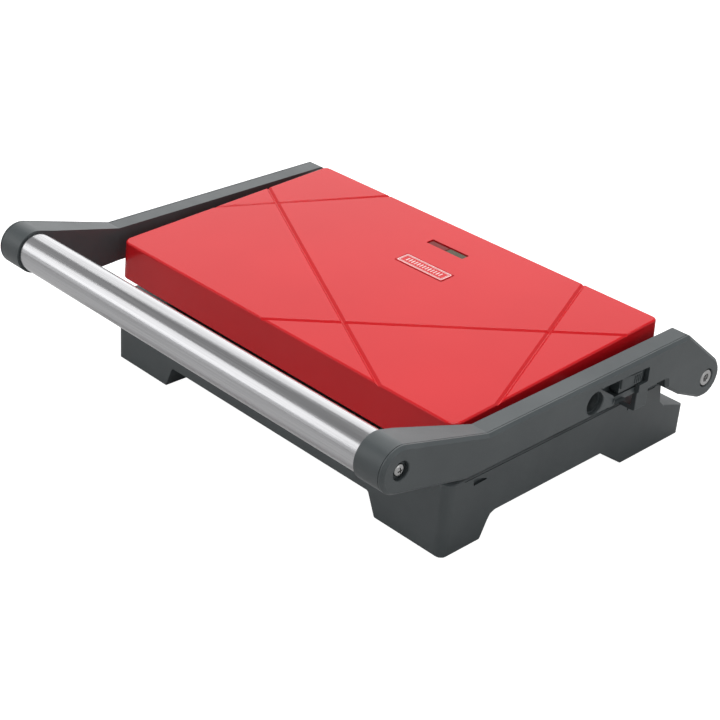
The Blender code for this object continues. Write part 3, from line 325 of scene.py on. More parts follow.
def brushed(name, stretch, dark, light, rough):
    """Steel with fine lines all one way."""
    f = Finish(name, Metallic=1.0)
    lines = f.noise(1.0, 5.0, 0.62, stretch=stretch)
    broad = f.noise(1.0, 3.0, 0.5, stretch=tuple(s * 0.16 for s in stretch))
    mixed = f.times(f.times(lines, 0.6), f.times(broad, 0.4), "ADD")
    f.feed("Base Color", f.tint(mixed, dark, light, 0.36, 0.62))
    f.feed("Roughness", f.spread(mixed, 0.35, 0.65, rough[0], rough[1]))
    f.relief(lines, 0.22, 0.00008)
    return f.mat


def clouded(name, cloud, tints, rough, relief=None, **sockets):
    """A plain finish: a cloud of noise varies its colour and its roughness, over a fine relief."""
    f = Finish(name, **sockets)
    fog = f.noise(*cloud)
    f.feed("Base Color", f.tint(fog, *tints))
    f.feed("Roughness", f.spread(fog, 0.3, 0.7, *rough))
    if relief:
        scale, detail, strength, depth = relief
        f.relief(f.noise(scale, detail), strength, depth)
    return f.mat


def coated_casting():
    """Cast aluminium under a dark speckled non-stick coat."""
    f = Finish("cast_aluminium", IOR=1.45)
    speck = f.spread(f.cells(900.0), 0.10, 0.24, 1.0, 0.0)
    cloud = f.noise(30.0, 4.0, 0.6)
    base = f.tint(cloud, (0.022, 0.022, 0.023), (0.032, 0.032, 0.034))
    mix = f.nodes.new("ShaderNodeMix")
    mix.data_type = "RGBA"
    f.links.new(f.times(speck, 0.55), mix.inputs["Factor"])
    f.links.new(base, mix.inputs["A"])
    mix.inputs["B"].default_value = (0.13, 0.13, 0.14, 1)
    f.feed("Base Color", mix.outputs["Result"])
    f.feed("Roughness", f.spread(f.noise(45.0, 4.0, 0.6), 0.3, 0.7, 0.32, 0.46))
    f.relief(f.noise(1400.0, 3.0), 0.20, 0.00005)
    f.relief(f.noise(120.0, 2.0), 0.06, 0.0003)
    return f.mat


def lens(name, dark, light):
    """Smoked clear plastic over fine ribs, as on an indicator window."""
    f = Finish(name, IOR=1.20)
    ribs = f.node("ShaderNodeTexWave", Vector=f.coords, Scale=300.0, Distortion=0.0).outputs["Fac"]
    cloud = f.noise(160.0, 3.0)
    f.feed("Base Color", f.tint(f.times(ribs, f.spread(cloud, 0.3, 0.7, 0.7, 1.0)), dark, light, 0.1, 0.9))
    f.feed("Roughness", f.spread(cloud, 0.3, 0.7, 0.10, 0.18))
    f.relief(ribs, 0.25, 0.0001)
    return f.mat


ALONG_X = (14.0, 2300.0, 2300.0)
ALONG_Y = (900.0, 12.0, 900.0)
FINISHES = {
    "black_plastic": moulded_plastic(),
    "red_plastic": gloss_red(),
    "brushed_steel": brushed("brushed_steel", ALONG_X, (0.46, 0.46, 0.47), (0.60, 0.60, 0.61), (0.14, 0.22)),
    "bright_steel": clouded(
        "bright_steel", (90.0, 3.0), ((0.44, 0.44, 0.43), (0.50, 0.50, 0.50)), (0.18, 0.24),
        (1500.0, 2.0, 0.10, 0.00003), Metallic=1.0),
    "cast_aluminium": coated_casting(),
    "steel_sheet": brushed("steel_sheet", ALONG_Y, (0.42, 0.42, 0.41), (0.60, 0.60, 0.59), (0.34, 0.48)),
    "rubber": clouded(
        "rubber", (140.0, 4.0, 0.6), ((0.014, 0.014, 0.015), (0.030, 0.030, 0.031)), (0.72, 0.88),
        (1800.0, 2.0, 0.3, 0.00008), IOR=1.5),
    "nylon": clouded(
        "nylon", (60.0, 3.0), ((0.56, 0.55, 0.50), (0.68, 0.67, 0.62)), (0.40, 0.52),
        (1200.0, 2.0, 0.12, 0.00005), IOR=1.53, Subsurface_Weight=0.12, Subsurface_Scale=0.002),
    "red_lens": lens("red_lens", (0.090, 0.006, 0.006), (0.300, 0.026, 0.024)),
    "green_lens": lens("green_lens", (0.035, 0.034, 0.020), (0.15, 0.13, 0.085)),
    "glass": clouded(
        "glass", (400.0, 2.0), ((0.78, 0.72, 0.62), (0.92, 0.88, 0.80)), (0.04, 0.10),
        IOR=1.5, Transmission_Weight=0.85),
    "badge_print": clouded(
        "badge_print", (500.0, 3.0), ((0.74, 0.50, 0.50), (0.86, 0.70, 0.69)), (0.26, 0.36),
        (500.0, 3.0, 0.05, 0.00004), IOR=1.49),
}


def dress_frame():
    """Gives each CAD node that stays in view or inside the press its own finish."""
    for row in frame["record"]["subparts"]:
        node = frame["nodes"][row["node"]]
        node.data.materials.clear()
        node.data.materials.append(FINISHES[row["material_slot"]])


# ---- shapes


def arc(centre, radius, start, end, steps):
    angles = [start + (end - start) * i / steps for i in range(steps + 1)]
    return [(centre[0] + radius * math.cos(a), centre[1] + radius * math.sin(a)) for a in angles]


def quarter(steps):
    """Angles from 0 to a right angle."""
    return [math.pi / 2 * k / steps for k in range(steps + 1)]


def circle(centre, radius, steps=ROUND):
    return arc(centre, radius, 0, 2 * math.pi * (steps - 1) / steps, steps - 1)


def rounded_box(half_x, front, rear, radius, steps=8, rear_radius=None):
    """An outline in X and Y with round corners, those at the rear with a radius of their own if given."""
    tail = rear_radius or radius
    corners = (
        (half_x - tail, rear - tail, tail),
        (tail - half_x, rear - tail, tail),
        (radius - half_x, front + radius, radius),
        (half_x - radius, front + radius, radius),
    )
    points = []
    for quarter, (x, y, own) in enumerate(corners):
        points += arc((x, y), own, quarter * math.pi / 2, (quarter + 1) * math.pi / 2, steps)
    return points


def rounded(points, radius, steps=5):
    """Rounds an outline's corners. A point may carry a radius of its own, and 0 keeps it sharp."""
    made = []
    for i, point in enumerate(points):
        own = point[2] if len(point) > 2 else radius
        here = Vector(point[:2])
        back = Vector(points[i - 1][:2]) - here
        ahead = Vector(points[(i + 1) % len(points)][:2]) - here
        half = back.angle(ahead) / 2
        if own <= 0 or half > math.radians(88):
            made.append(tuple(here))
            continue
        reach = min(own / math.tan(half), 0.48 * back.length, 0.48 * ahead.length)
        own = reach * math.tan(half)
        centre = here + (back.normalized() + ahead.normalized()).normalized() * (own / math.sin(half))
        first = here + back.normalized() * reach - centre
        last = here + ahead.normalized() * reach - centre
        sweep = math.atan2(first.x * last.y - first.y * last.x, first.dot(last))
        start = math.atan2(first.y, first.x)
        made += arc(centre, own, start, start + sweep, steps)
    return made


def inset(outline, amount):
    """The outline moved inwards by an amount, corner for corner."""
    count = len(outline)
    area = sum(outline[i - 1][0] * outline[i][1] - outline[i][0] * outline[i - 1][1] for i in range(count))
    turn = 1 if area > 0 else -1
    moved = []
    for i, here in enumerate(outline):
        here = Vector(here)
        before = (here - Vector(outline[i - 1])).normalized()
        after = (Vector(outline[(i + 1) % count]) - here).normalized()
        normals = [Vector((-d.y, d.x)) * turn for d in (before, after)]
        share = amount / max(0.3, 1 + normals[0].dot(normals[1]))
        moved.append(tuple(here + (normals[0] + normals[1]) * share))
    return moved


def spread_to(axis, place, a, b):
    return {"X": (place, a, b), "Y": (a, place, b), "Z": (a, b, place)}[axis]


def loft(rings, bm=None, cap=True):
    """Bridges rings of equal count, each a list of 3-D points, and caps both ends."""
    bm = bm or bmesh.new()
    made = [[bm.verts.new(point) for point in ring] for ring in rings]
    count = len(made[0])
    for lower, upper in zip(made, made[1:]):
        for i in range(count):
            j = (i + 1) % count
            bm.faces.new((lower[i], lower[j], upper[j], upper[i]))
    if cap:
        bm.faces.new(made[0])
        bm.faces.new(made[-1])
    else:
        for i in range(count):
            j = (i + 1) % count
            bm.faces.new((made[-1][i], made[-1][j], made[0][j], made[0][i]))
    bmesh.ops.recalc_face_normals(bm, faces=bm.faces)
    return bm


def slab(outline, axis, start, end, edge=0.0, steps=3):
    """A solid with a flat outline, run along an axis, its end rims rounded to the radius `edge`."""
    start, end = sorted((start, end))
    turns = quarter(steps) if edge else [math.pi / 2]
    rings = [(edge * (1 - math.sin(a)), start + edge * (1 - math.cos(a))) for a in turns]
    rings += [(edge * (1 - math.sin(a)), end - edge * (1 - math.cos(a))) for a in reversed(turns)]
    return drawn_in(outline, axis, rings)


def drawn_in(outline, axis, rings):
    """A loft of one outline through rings of (inset, place along the axis)."""
    lofted = []
    for shrink, place in rings:
        ring = inset(outline, shrink) if shrink > 1e-7 else outline
        lofted.append([spread_to(axis, place, a, b) for a, b in ring])
    return loft(lofted)


def chamfered(outline, axis, start, end, chamfer):
    """As a slab, with a flat chamfer round the rim of its far end."""
    sign = 1 if end > start else -1
    return drawn_in(outline, axis, [(0.0, start), (0.0, end - sign * chamfer), (chamfer, end)])


def block(low_corner, high_corner, edge=0.0):
    (x0, y0, z0), (x1, y1, z1) = low_corner, high_corner
    return slab(((x0, y0), (x1, y0), (x1, y1), (x0, y1)), "Z", z0, z1, edge)


def turned(profile, steps=ROUND, ring=False):
    """Spins a profile of (radius, height) points round Z. A ring's profile closes on itself."""
    bm = bmesh.new()
    verts = [bm.verts.new((radius, 0, height)) for radius, height in profile]
    edges = [bm.edges.new(pair) for pair in zip(verts, verts[1:])]
    if ring:
        edges.append(bm.edges.new((verts[-1], verts[0])))
    bmesh.ops.spin(bm, geom=verts + edges, cent=(0, 0, 0), axis=(0, 0, 1), angle=2 * math.pi, steps=steps)
    bmesh.ops.remove_doubles(bm, verts=bm.verts, dist=1e-6)
    bmesh.ops.recalc_face_normals(bm, faces=bm.faces)
    return bm


def along_x(x, y, z, sign=1):
    """Puts a turned piece on an axis along X, its own +Z pointing to sign times X."""
    return Matrix.Translation((x, y, z)) @ Matrix.Rotation(sign * math.pi / 2, 4, "Y")


def placed(bm, matrix):
    bm.transform(matrix)
    return bm


def helper(bm, name="helper"):
    mesh = bpy.data.meshes.new(name)
    bm.to_mesh(mesh)
    bm.free()
    obj = bpy.data.objects.new(name, mesh)
    bpy.context.collection.objects.link(obj)
    return obj


def evaluated_mesh(obj):
    bpy.context.view_layer.update()
    graph = bpy.context.evaluated_depsgraph_get()
    return bpy.data.meshes.new_from_object(obj.evaluated_get(graph), depsgraph=graph)


def drop(*objects):
    for obj in objects:
        mesh = obj.data
        bpy.data.objects.remove(obj, do_unlink=True)
        bpy.data.meshes.remove(mesh)


def carve(solid, cutter, operation="DIFFERENCE"):
    """A bmesh cut by, joined to or kept within another."""
    body, tool = helper(solid), helper(cutter)
    step = body.modifiers.new("carve", "BOOLEAN")
    step.operation = operation
    step.object = tool
    mesh = evaluated_mesh(body)
    drop(body, tool)
    made = bmesh.new()
    made.from_mesh(mesh)
    bpy.data.meshes.remove(mesh)
    return made


def soften(bm, width, angle=34, segments=2):
    """Rounds the sharp edges of a carved solid, leaving very short ones."""
    bmesh.ops.remove_doubles(bm, verts=bm.verts, dist=2e-5)
    bmesh.ops.dissolve_limit(bm, angle_limit=math.radians(0.5), verts=bm.verts, edges=bm.edges)
    sharp = [
        e for e in bm.edges
        if len(e.link_faces) == 2
        and e.calc_face_angle() > math.radians(angle)
        and e.calc_length() > width * 1.5
    ]
    bmesh.ops.bevel(bm, geom=sharp, offset=width, segments=segments, profile=0.5, affect="EDGES",
                    clamp_overlap=True, loop_slide=True)
    return bm


def piece(name, bm, slot, body, nodes, crisp=32):
    """Makes a finished piece from a bmesh: smooth, with even normals, riding on its body."""
    obj = helper(bm, name)
    obj.data.materials.append(FINISHES[slot])
    return dressed(obj, body, nodes, crisp)


def dressed(obj, body, nodes, crisp=32):
    mesh = obj.data
    mesh.shade_smooth()
    mesh.set_sharp_from_angle(angle=math.radians(crisp))
    even = obj.modifiers.new("even_normals", "WEIGHTED_NORMAL")
    even.keep_sharp = True
    finished = evaluated_mesh(obj)
    obj.modifiers.remove(even)
    obj.data = finished
    finished.name = obj.name
    bpy.data.meshes.remove(mesh)
    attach(obj, body)
    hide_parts(*nodes)
    return obj


# ---- rule-made rows


def new_tree(name, **inputs):
    """A Geometry Nodes tree with named inputs. Returns it, its input node and its output node."""
    tree = bpy.data.node_groups.new(name, "GeometryNodeTree")
    tree.interface.new_socket("Geometry", in_out="INPUT", socket_type="NodeSocketGeometry")
    for label, kind in inputs.items():
        tree.interface.new_socket(label, in_out="INPUT", socket_type=f"NodeSocket{kind}")
    tree.interface.new_socket("Geometry", in_out="OUTPUT", socket_type="NodeSocketGeometry")
    return tree, tree.nodes.new("NodeGroupInput"), tree.nodes.new("NodeGroupOutput")


def wire(tree, *wires):
    """Links sockets, each wire given as (from node, output, to node, input)."""
    for source, output, sink, entry in wires:
        tree.links.new(source.outputs[output], sink.inputs[entry])


def finish_tree(tree, copies, given, result):
    """Ends a tree in Realize Instances and Set Material."""
    real = tree.nodes.new("GeometryNodeRealizeInstances")
    paint = tree.nodes.new("GeometryNodeSetMaterial")
    wire(
        tree,
        (copies, "Instances", real, "Geometry"),
        (real, "Geometry", paint, "Geometry"),
        (given, "Finish", paint, "Material"),
        (paint, "Geometry", result, "Geometry"),
    )


def row_tree():
    """Copies of one shape in a straight row: Shape, Count, Start, Step and Finish."""
    tree, given, result = new_tree(
        "row_of_shapes", Shape="Object", Count="Int", Start="Vector", Step="Vector", Finish="Material")
    line = tree.nodes.new("GeometryNodeMeshLine")
    shape = tree.nodes.new("GeometryNodeObjectInfo")
    copy = tree.nodes.new("GeometryNodeInstanceOnPoints")
    wire(
        tree,
        (given, "Count", line, "Count"),
        (given, "Start", line, "Start Location"),
        (given, "Step", line, "Offset"),
        (given, "Shape", shape, "Object"),
        (line, "Mesh", copy, "Points"),
        (shape, "Geometry", copy, "Instance"),
    )
    finish_tree(tree, copy, given, result)
    return tree


def scatter_tree():
    """A fastener on each point, facing along the point's own direction and turned at random about it."""
    tree, given, result = new_tree("fasteners_on_points", Shape="Object", Seed="Int", Finish="Material")
    shape = tree.nodes.new("GeometryNodeObjectInfo")
    facing = tree.nodes.new("GeometryNodeInputNamedAttribute")
    facing.data_type = "FLOAT_VECTOR"
    facing.inputs["Name"].default_value = "facing"
    align = tree.nodes.new("FunctionNodeAlignRotationToVector")
    align.axis = "Z"
    chance = tree.nodes.new("FunctionNodeRandomValue")
    chance.data_type = "FLOAT_VECTOR"
    chance.inputs["Min"].default_value = (0, 0, 0)
    chance.inputs["Max"].default_value = (0, 0, 2 * math.pi)
    turn = tree.nodes.new("FunctionNodeEulerToRotation")
    both = tree.nodes.new("FunctionNodeRotateRotation")
    both.rotation_space = "LOCAL"
    copy = tree.nodes.new("GeometryNodeInstanceOnPoints")
    wire(
        tree,
        (given, "Geometry", copy, "Points"),
        (given, "Shape", shape, "Object"),
        (given, "Seed", chance, "Seed"),
        (facing, "Attribute", align, "Vector"),
        (align, "Rotation", both, "Rotation"),
        (chance, "Value", turn, "Euler"),
        (turn, "Rotation", both, "Rotate By"),
        (both, "Rotation", copy, "Rotation"),
        (shape, "Geometry", copy, "Instance"),
    )
    finish_tree(tree, copy, given, result)
    return tree


ROW = row_tree()
SCATTER = scatter_tree()


def grown(tree, host, values):
    """The plain mesh that a tree makes on a host object, which is then removed."""
    step = host.modifiers.new(tree.name, "NODES")
    step.node_group = tree
    for item in tree.interface.items_tree:
        if item.in_out == "INPUT" and item.name in values:
            step[item.identifier] = values[item.name]
    mesh = evaluated_mesh(host)
    drop(host)
    return mesh


def row(shape_bm, count, start, step, slot):
    """A bmesh of one shape repeated in a row."""
    shape = helper(shape_bm, "row_shape")
    mesh = grown(ROW, helper(bmesh.new(), "row_host"), {
        "Shape": shape, "Count": count, "Start": start, "Step": step, "Finish": FINISHES[slot],
    })
    drop(shape)
    bm = bmesh.new()
    bm.from_mesh(mesh)
    bpy.data.meshes.remove(mesh)
    return bm


def fasteners(name, shape_bm, places, slot, body, nodes, seed):
    """One piece that holds a copy of a shape at each (position, direction)."""
    shape = helper(shape_bm, "fastener_shape")
    mesh = bpy.data.meshes.new("fastener_places")
    mesh.from_pydata([at for at, _facing in places], [], [])
    facing = mesh.attributes.new("facing", "FLOAT_VECTOR", "POINT")
    for slot_item, (_at, direction) in zip(facing.data, places):
        slot_item.vector = direction
    host = bpy.data.objects.new("fastener_host", mesh)
    bpy.context.collection.objects.link(host)
    made = grown(SCATTER, host, {"Shape": shape, "Seed": seed, "Finish": FINISHES[slot]})
    drop(shape)
    made.name = name
    for attribute in list(made.attributes):
        if attribute.name == "facing":
            made.attributes.remove(attribute)
    obj = bpy.data.objects.new(name, made)
    bpy.context.collection.objects.link(obj)
    return dressed(obj, body, nodes)


def merged(first, *others):
    """Adds the geometry of other bmeshes to the first one, as separate shells of one piece."""
    for other in others:
        mesh = bpy.data.meshes.new("merge")
        other.to_mesh(mesh)
        other.free()
        first.from_mesh(mesh)
        bpy.data.meshes.remove(mesh)
    return first


def screw_shape(head_r, head_h, shank_r, shank_l):
    """A pan-head screw with a cross recess, its head above its own Z = 0."""
    profile = [(0, -shank_l), (shank_r * 0.6, -shank_l), (shank_r, shank_r - shank_l), (shank_r, 0)]
    profile.append((head_r, 0))
    profile += [(head_r * math.cos(a), head_h * (0.35 + 0.65 * math.sin(a))) for a in quarter(6)[:-1]]
    profile.append((0, head_h))
    head = turned(profile, 40)
    arm, half = head_r * 0.58, head_r * 0.13
    levels = ((arm * 0.45, half * 0.6, head_h * 0.25), (arm, half, head_h + 0.0002))
    taper = [[(-x, -y, z), (x, -y, z), (x, y, z), (-x, y, z)] for x, y, z in levels]
    for turn in (0, math.pi / 2):
        head = carve(head, placed(loft(taper), Matrix.Rotation(turn, 4, "Z")))
    return head


# ---- arms


def tangent(point, centre, radius, side):
    dy, dz = point[0] - centre[0], point[1] - centre[1]
    return math.atan2(dz, dy) + side * math.acos(radius / math.hypot(dy, dz))


def wrap(before, centre, radius, after, steps):
    """The clockwise arc that joins two points' tangents round a circle, its points marked as kept."""
    start = tangent(before, centre, radius, -1)
    turn = (start - tangent(after, centre, radius, 1)) % (2 * math.pi)
    return [(y, z, 0.0) for y, z in arc(centre, radius, start, start - turn, steps)]


def arm_outline():
    """The side of an arm: a lobe round the handle, a bend, a straight and a lobe round the hinge."""
    top_bend = (LID_LOW.y + BEND_BEHIND_LID_FRONT, ARM_TOP_FRONT, 0.0025)
    top_rear = (HINGE.y - REAR_SHOULDER, ARM_TOP_REAR, 0.0022)
    belly = (HINGE.y - BELLY[0], HINGE.z - BELLY[1], 0.0030)
    chin = (HANDLE.y + CHIN[0], ARM_BOTTOM + CHIN[1], 0.0080)
    points = [top_bend, top_rear]
    points += wrap(top_rear, (HINGE.y, HINGE.z), REAR_LOBE_R, belly, 28)
    points += [
        belly,
        (LID_HIGH.y - HOOK[0], ARM_BOTTOM - HOOK[1], 0.0020),
        (LID_HIGH.y - HOOK_TOP, ARM_BOTTOM, 0.0010),
        (LID_LOW.y - CHIN_AHEAD_OF_LID, ARM_BOTTOM, 0.0060),
        chin,
    ]
    points += wrap(chin, (HANDLE.y, HANDLE.z), FRONT_LOBE_R, top_bend, 32)
    return rounded(points, 0.0)


def lock_window():
    """The opening in the right arm's cover over the transport lock."""
    (front, high_end), (low_front, low_end) = WINDOW_DIAGONAL
    sill_front, sill_rear, sill = WINDOW_SILL
    outline = [
        (front, high_end, 0.0010),
        (low_front, low_end, 0.0012),
        (sill_front, sill, 0.0006),
        (sill_rear, sill, 0.0004),
        (sill_rear, -BELOW_ARM, 0.0),
        (WINDOW_REAR[0], -BELOW_ARM, 0.0),
        (WINDOW_REAR[0], WINDOW_REAR_HEIGHT, 0.0004),
        (WINDOW_REAR[1], WINDOW_REAR_HEIGHT, 0.0006),
        (WINDOW_REAR[1], WINDOW_TOP, 0.0010),
    ]
    return rounded([(PIVOT.y + y, ARM_BOTTOM + z, r) for y, z, r in outline], 0.0)


def thumb_scoop():
    """A shallow sloping facet on the cover, ahead of the window's diagonal edge."""
    start, end = (Vector((PIVOT.y + y, ARM_BOTTOM + z)) for y, z in WINDOW_DIAGONAL)
    run = (end - start).normalized()
    ahead = Vector((run.y, -run.x)) * SCOOP_REACH
    start, end = start - run * 0.001, end + run * 0.0004
    rings = []
    for point, width in ((start, 0.4), (end, 1.0)):
        far = point + ahead * width
        near = point - ahead * 0.2
        rings.append([
            (HALF + 0.00002, *far), (HALF + CUT, *far), (HALF + CUT, *near),
            (HALF - SCOOP_DEPTH, *near), (HALF - SCOOP_DEPTH, *point),
        ])
    return loft(rings)


def lock_pocket():
    """The space in the right arm's bar for the lock's body, and the slot for its leg."""
    front = LOCK_LOW.y - LOCK_TRAVEL - LOCK_FINGER_ROOM
    rear = LOCK_HIGH.y + FIT
    slot = PIVOT.y + LOCK_LEG[0] - LOCK_TRAVEL - FIT
    bottom, top = ARM_BOTTOM + LOCK_HEIGHT[0] - FIT, LOCK_HIGH.z + FIT
    below = ARM_BOTTOM - BELOW_ARM
    outline = [(front, bottom), (slot, bottom), (slot, below), (rear, below), (rear, top), (front, top)]
    return slab(outline, "X", BAR_OUT - LOCK_POCKET, BAR_OUT + CUT)


def hole_x(at, radius, sign, start, end):
    return slab(circle((at.y, at.z), radius), "X", sign * start, sign * end)


def hole_z(at, radius, start, end, steps=ROUND):
    return slab(circle((at[0], at[1]), radius, steps), "Z", start, end)


def make_arm(side, sign):
    bar = slab(arm_outline(), "X", sign * LOBE_IN, sign * BAR_OUT)
    lobe_rear = HANDLE.y + FRONT_LOBE_R - 0.001
    plan = [
        (LOBE_IN - CUT, HANDLE.y - 0.03, 0.0),
        (BAR_OUT + CUT, HANDLE.y - 0.03, 0.0),
        (BAR_OUT + CUT, HINGE.y + 0.03, 0.0),
        (ARM_IN, HINGE.y + 0.03, 0.0),
        (ARM_IN, LID_LOW.y + BEND_BEHIND_LID_FRONT, 0.012),
        (LOBE_IN, lobe_rear, 0.004),
        (LOBE_IN - CUT, lobe_rear, 0.0),
    ]
    plan = [(x * sign, y) for x, y in rounded(plan, 0.0)]
    bar = carve(bar, slab(plan, "Z", 0.0, 0.2), "INTERSECT")
    bar = soften(bar, ARM_EDGE)
    for at, radius, start in (
        (HANDLE, HANDLE_HOLE_R, LOBE_IN - 2 * CUT),
        (HINGE, HINGE_HOLE_R, ARM_IN - 2 * CUT),
        (PIVOT, PIVOT_HOLE_R, ARM_IN - 2 * CUT),
        (PIVOT, PIVOT_SEAT_R, BAR_OUT - PIVOT_SEAT_DEPTH),
    ):
        bar = carve(bar, hole_x(at, radius, sign, start, BAR_OUT + CUT))
    if side == "right":
        bar = carve(bar, lock_pocket())
    piece(f"arm_bar_{side}", bar, "black_plastic", "arms", [f"arm_{side}"])


def flared_well(at, radius, sign):
    """A round hole through a cover with a small flare at its outer rim."""
    levels = (
        (0, SEAM - CUT),
        (0, HALF - WELL_FLARE),
        (WELL_FLARE * 0.4, HALF - WELL_FLARE * 0.4),
        (WELL_FLARE, HALF),
        (WELL_FLARE, HALF + CUT),
    )
    return loft([[(sign * x, y, z) for y, z in circle((at.y, at.z), radius + grow)] for grow, x in levels])


def make_arm_cover(side, sign):
    cover = chamfered(arm_outline(), "X", sign * SEAM, sign * HALF, COVER_CHAMFER)
    for at, radius in ((HANDLE, WELL_HANDLE_R), (HINGE, WELL_HINGE_R), (PIVOT, WELL_PIVOT_R)):
        cover = carve(cover, flared_well(at, radius, sign))
    if side == "right":
        cover = carve(cover, thumb_scoop())
        cover = carve(cover, slab(lock_window(), "X", SEAM - CUT, HALF + CUT))
    cover = soften(cover, COVER_EDGE, 30)
    piece(f"arm_skin_{side}", cover, "black_plastic", "arms", [f"arm_cover_{side}"])


def make_lock():
    """The slide, with a ribbed thumb knob, a leg and a toe."""
    inner = BAR_OUT - LOCK_POCKET + GAP
    bottom = ARM_BOTTOM + LOCK_HEIGHT[0]
    body = block((inner, LOCK_LOW.y, bottom), (BAR_OUT - GAP, LOCK_HIGH.y, LOCK_HIGH.z), 0.0004)
    leg_top = bottom + 0.002
    toe_top = LOCK_LOW.z + TOE_THICK
    leg = rounded([
        (inner, leg_top, 0.0),
        (inner + LOCK_LEG_THICK, leg_top, 0.0),
        (inner + LOCK_LEG_THICK, LOCK_LOW.z, 0.0012),
        (LOCK_LOW.x, LOCK_LOW.z, 0.0004),
        (LOCK_LOW.x, toe_top, 0.0004),
        (inner, toe_top, 0.0008),
    ], 0.0)
    front, rear = (PIVOT.y + y for y in LOCK_LEG)
    body = carve(body, slab(leg, "Y", front, rear, 0.0004), "UNION")
    face = LOCK_HIGH.x - 0.0005
    front, rear = (PIVOT.y + y for y in LOCK_KNOB)
    knob_low, knob_high = (ARM_BOTTOM + z for z in LOCK_KNOB_HEIGHT)
    ramp = rounded([
        (BAR_OUT - 0.002, front + 0.0003, 0.0),
        (face - 0.0010, front + 0.0003, 0.0006),
        (face, front + 0.0090, 0.0020),
        (face, rear - 0.0003, 0.0004),
        (BAR_OUT - 0.002, rear - 0.0003, 0.0),
    ], 0.0)
    body = carve(body, slab(ramp, "Z", knob_low, knob_high, 0.0003), "UNION")
    tooth = rounded([(-0.0004, 0.0), (0.0004, 0.0), (0.0002, 0.0006), (-0.0002, 0.0006)], 0.0002, 2)
    rib = placed(slab(tooth, "X", -0.0024, 0.0024, 0.0003), Matrix.Rotation(math.pi / 2, 4, "Y"))
    start = (face - 0.0001, front + 0.0100, (knob_low + knob_high) / 2)
    ribs = row(rib, 4, start, (0, 0.0016, 0), "black_plastic")
    piece("lock_slide", merged(body, ribs), "black_plastic", "lock", ["lock_slider"])


def make_catch():
    lo, hi = low("lock_catch"), high("lock_catch")
    side = BASE_HIGH.x
    top = BASE_TOP + GAP
    lip = LOCK_LOW.z + TOE_THICK + FIT
    outline = rounded([
        (lo.x, top, 0.0003),
        (side, top, 0.0003),
        (side, lip, 0.0004),
        (hi.x, lip, 0.0005),
        (hi.x, (lip + hi.z) / 2, 0.0006),
        (side, hi.z, 0.0010),
        (lo.x, hi.z, 0.0006),
    ], 0.0, 3)
    catch = slab(outline, "Y", lo.y, hi.y, 0.0003)
    tongue = block((lo.x, lo.y + TONGUE_INSET, lo.z), (lo.x + TONGUE_THICK, hi.y - TONGUE_INSET, top + CUT))
    piece("catch_clip", carve(catch, tongue, "UNION"), "black_plastic", "base", ["lock_catch"])


# ---- handle and hinge


def node_length(node):
    return high(node).x - low(node).x


def both_ends(x, at):
    """Places for a pair of fasteners that face outwards from the two arms."""
    return [((sign * x, at.y, at.z), (sign, 0, 0)) for sign in (-1, 1)]


def make_handle():
    length = high("handle_tube").x
    bore = TUBE_R - 0.0012
    roll = 0.0005
    lip = [(TUBE_R - roll + roll * math.sin(a), length - roll + roll * math.cos(a)) for a in quarter(5)]
    outer = lip + [(TUBE_R, length * k / 6) for k in range(5, -6, -1)]
    outer += [(r, -z) for r, z in reversed(lip)]
    profile = [(bore, length)] + outer + [(bore, -length)]
    tube = placed(turned(profile, FINE, ring=True), along_x(0, HANDLE.y, HANDLE.z))
    piece("handle_grip", tube, "brushed_steel", "arms", ["handle_tube"])
    shape = screw_shape(*HANDLE_SCREW, node_length("handle_screw_right") - HANDLE_SCREW[1])
    places = both_ends(BAR_OUT + GAP, HANDLE)
    fasteners("handle_fixings", shape, places, "bright_steel", "arms",
              ["handle_screw_left", "handle_screw_right"], 3)


def make_hinge():
    end = high("hinge_rod").x
    chamfer = 0.0005
    neck = ROD_R - 0.0005
    outer = [(0, end), (ROD_R - chamfer, end), (ROD_R, end - chamfer)]
    for x in (EAR_OUT + 0.0016, EAR_OUT - EAR_THICK - 0.0016):
        outer += [(ROD_R, x + 0.0006), (neck, x + 0.0004), (neck, x - 0.0004), (ROD_R, x - 0.0006)]
    profile = outer + [(r, -z) for r, z in reversed(outer)]
    rod = placed(turned(profile, ROUND), along_x(0, HINGE.y, HINGE.z))
    piece("hinge_shaft", rod, "bright_steel", "base", ["hinge_rod"])
    fasteners("hinge_fixings", hinge_screw(), both_ends(BAR_OUT + GAP, HINGE), "bright_steel", "base",
              ["hinge_screw_left", "hinge_screw_right"], 5)


def hinge_screw():
    """A flat round head with a dished, cross-cut middle on a thin shank."""
    head_r, head_h = HINGE_HEAD
    rim = 0.0008
    profile = [
        (0.0, -HINGE_SHANK),
        (0.0010, -HINGE_SHANK),
        (0.0017, 0.0012 - HINGE_SHANK),
        (0.0017, 0),
        (head_r, 0),
    ]
    profile += [(head_r - rim + rim * math.cos(a), head_h * (0.55 + 0.45 * math.sin(a))) for a in quarter(5)]
    dish = ((0.0026, 0), (0.0023, 0.0003), (0.0023, 0.0012), (0.0, 0.0014))
    profile += [(radius, head_h - sunk) for radius, sunk in dish]
    screw = turned(profile, 40)
    for turn in (0, math.pi / 2):
        arm = block((-0.0017, -0.0004, -0.0006), (0.0017, 0.0004, head_h - 0.0010))
        screw = carve(screw, placed(arm, Matrix.Rotation(turn, 4, "Z")))
    return screw


# ---- lid


def lid_top(y, drop_by=0.0):
    return LID_TOP_FRONT + (y - LID_LOW.y) * LID_SLOPE - drop_by


def lid_place(x, from_rear):
    """Puts a flat piece on the lid's sloping top."""
    y = LID_HIGH.y - from_rear
    return Matrix.Translation((x, y, lid_top(y))) @ Matrix.Rotation(math.atan(LID_SLOPE), 4, "X")


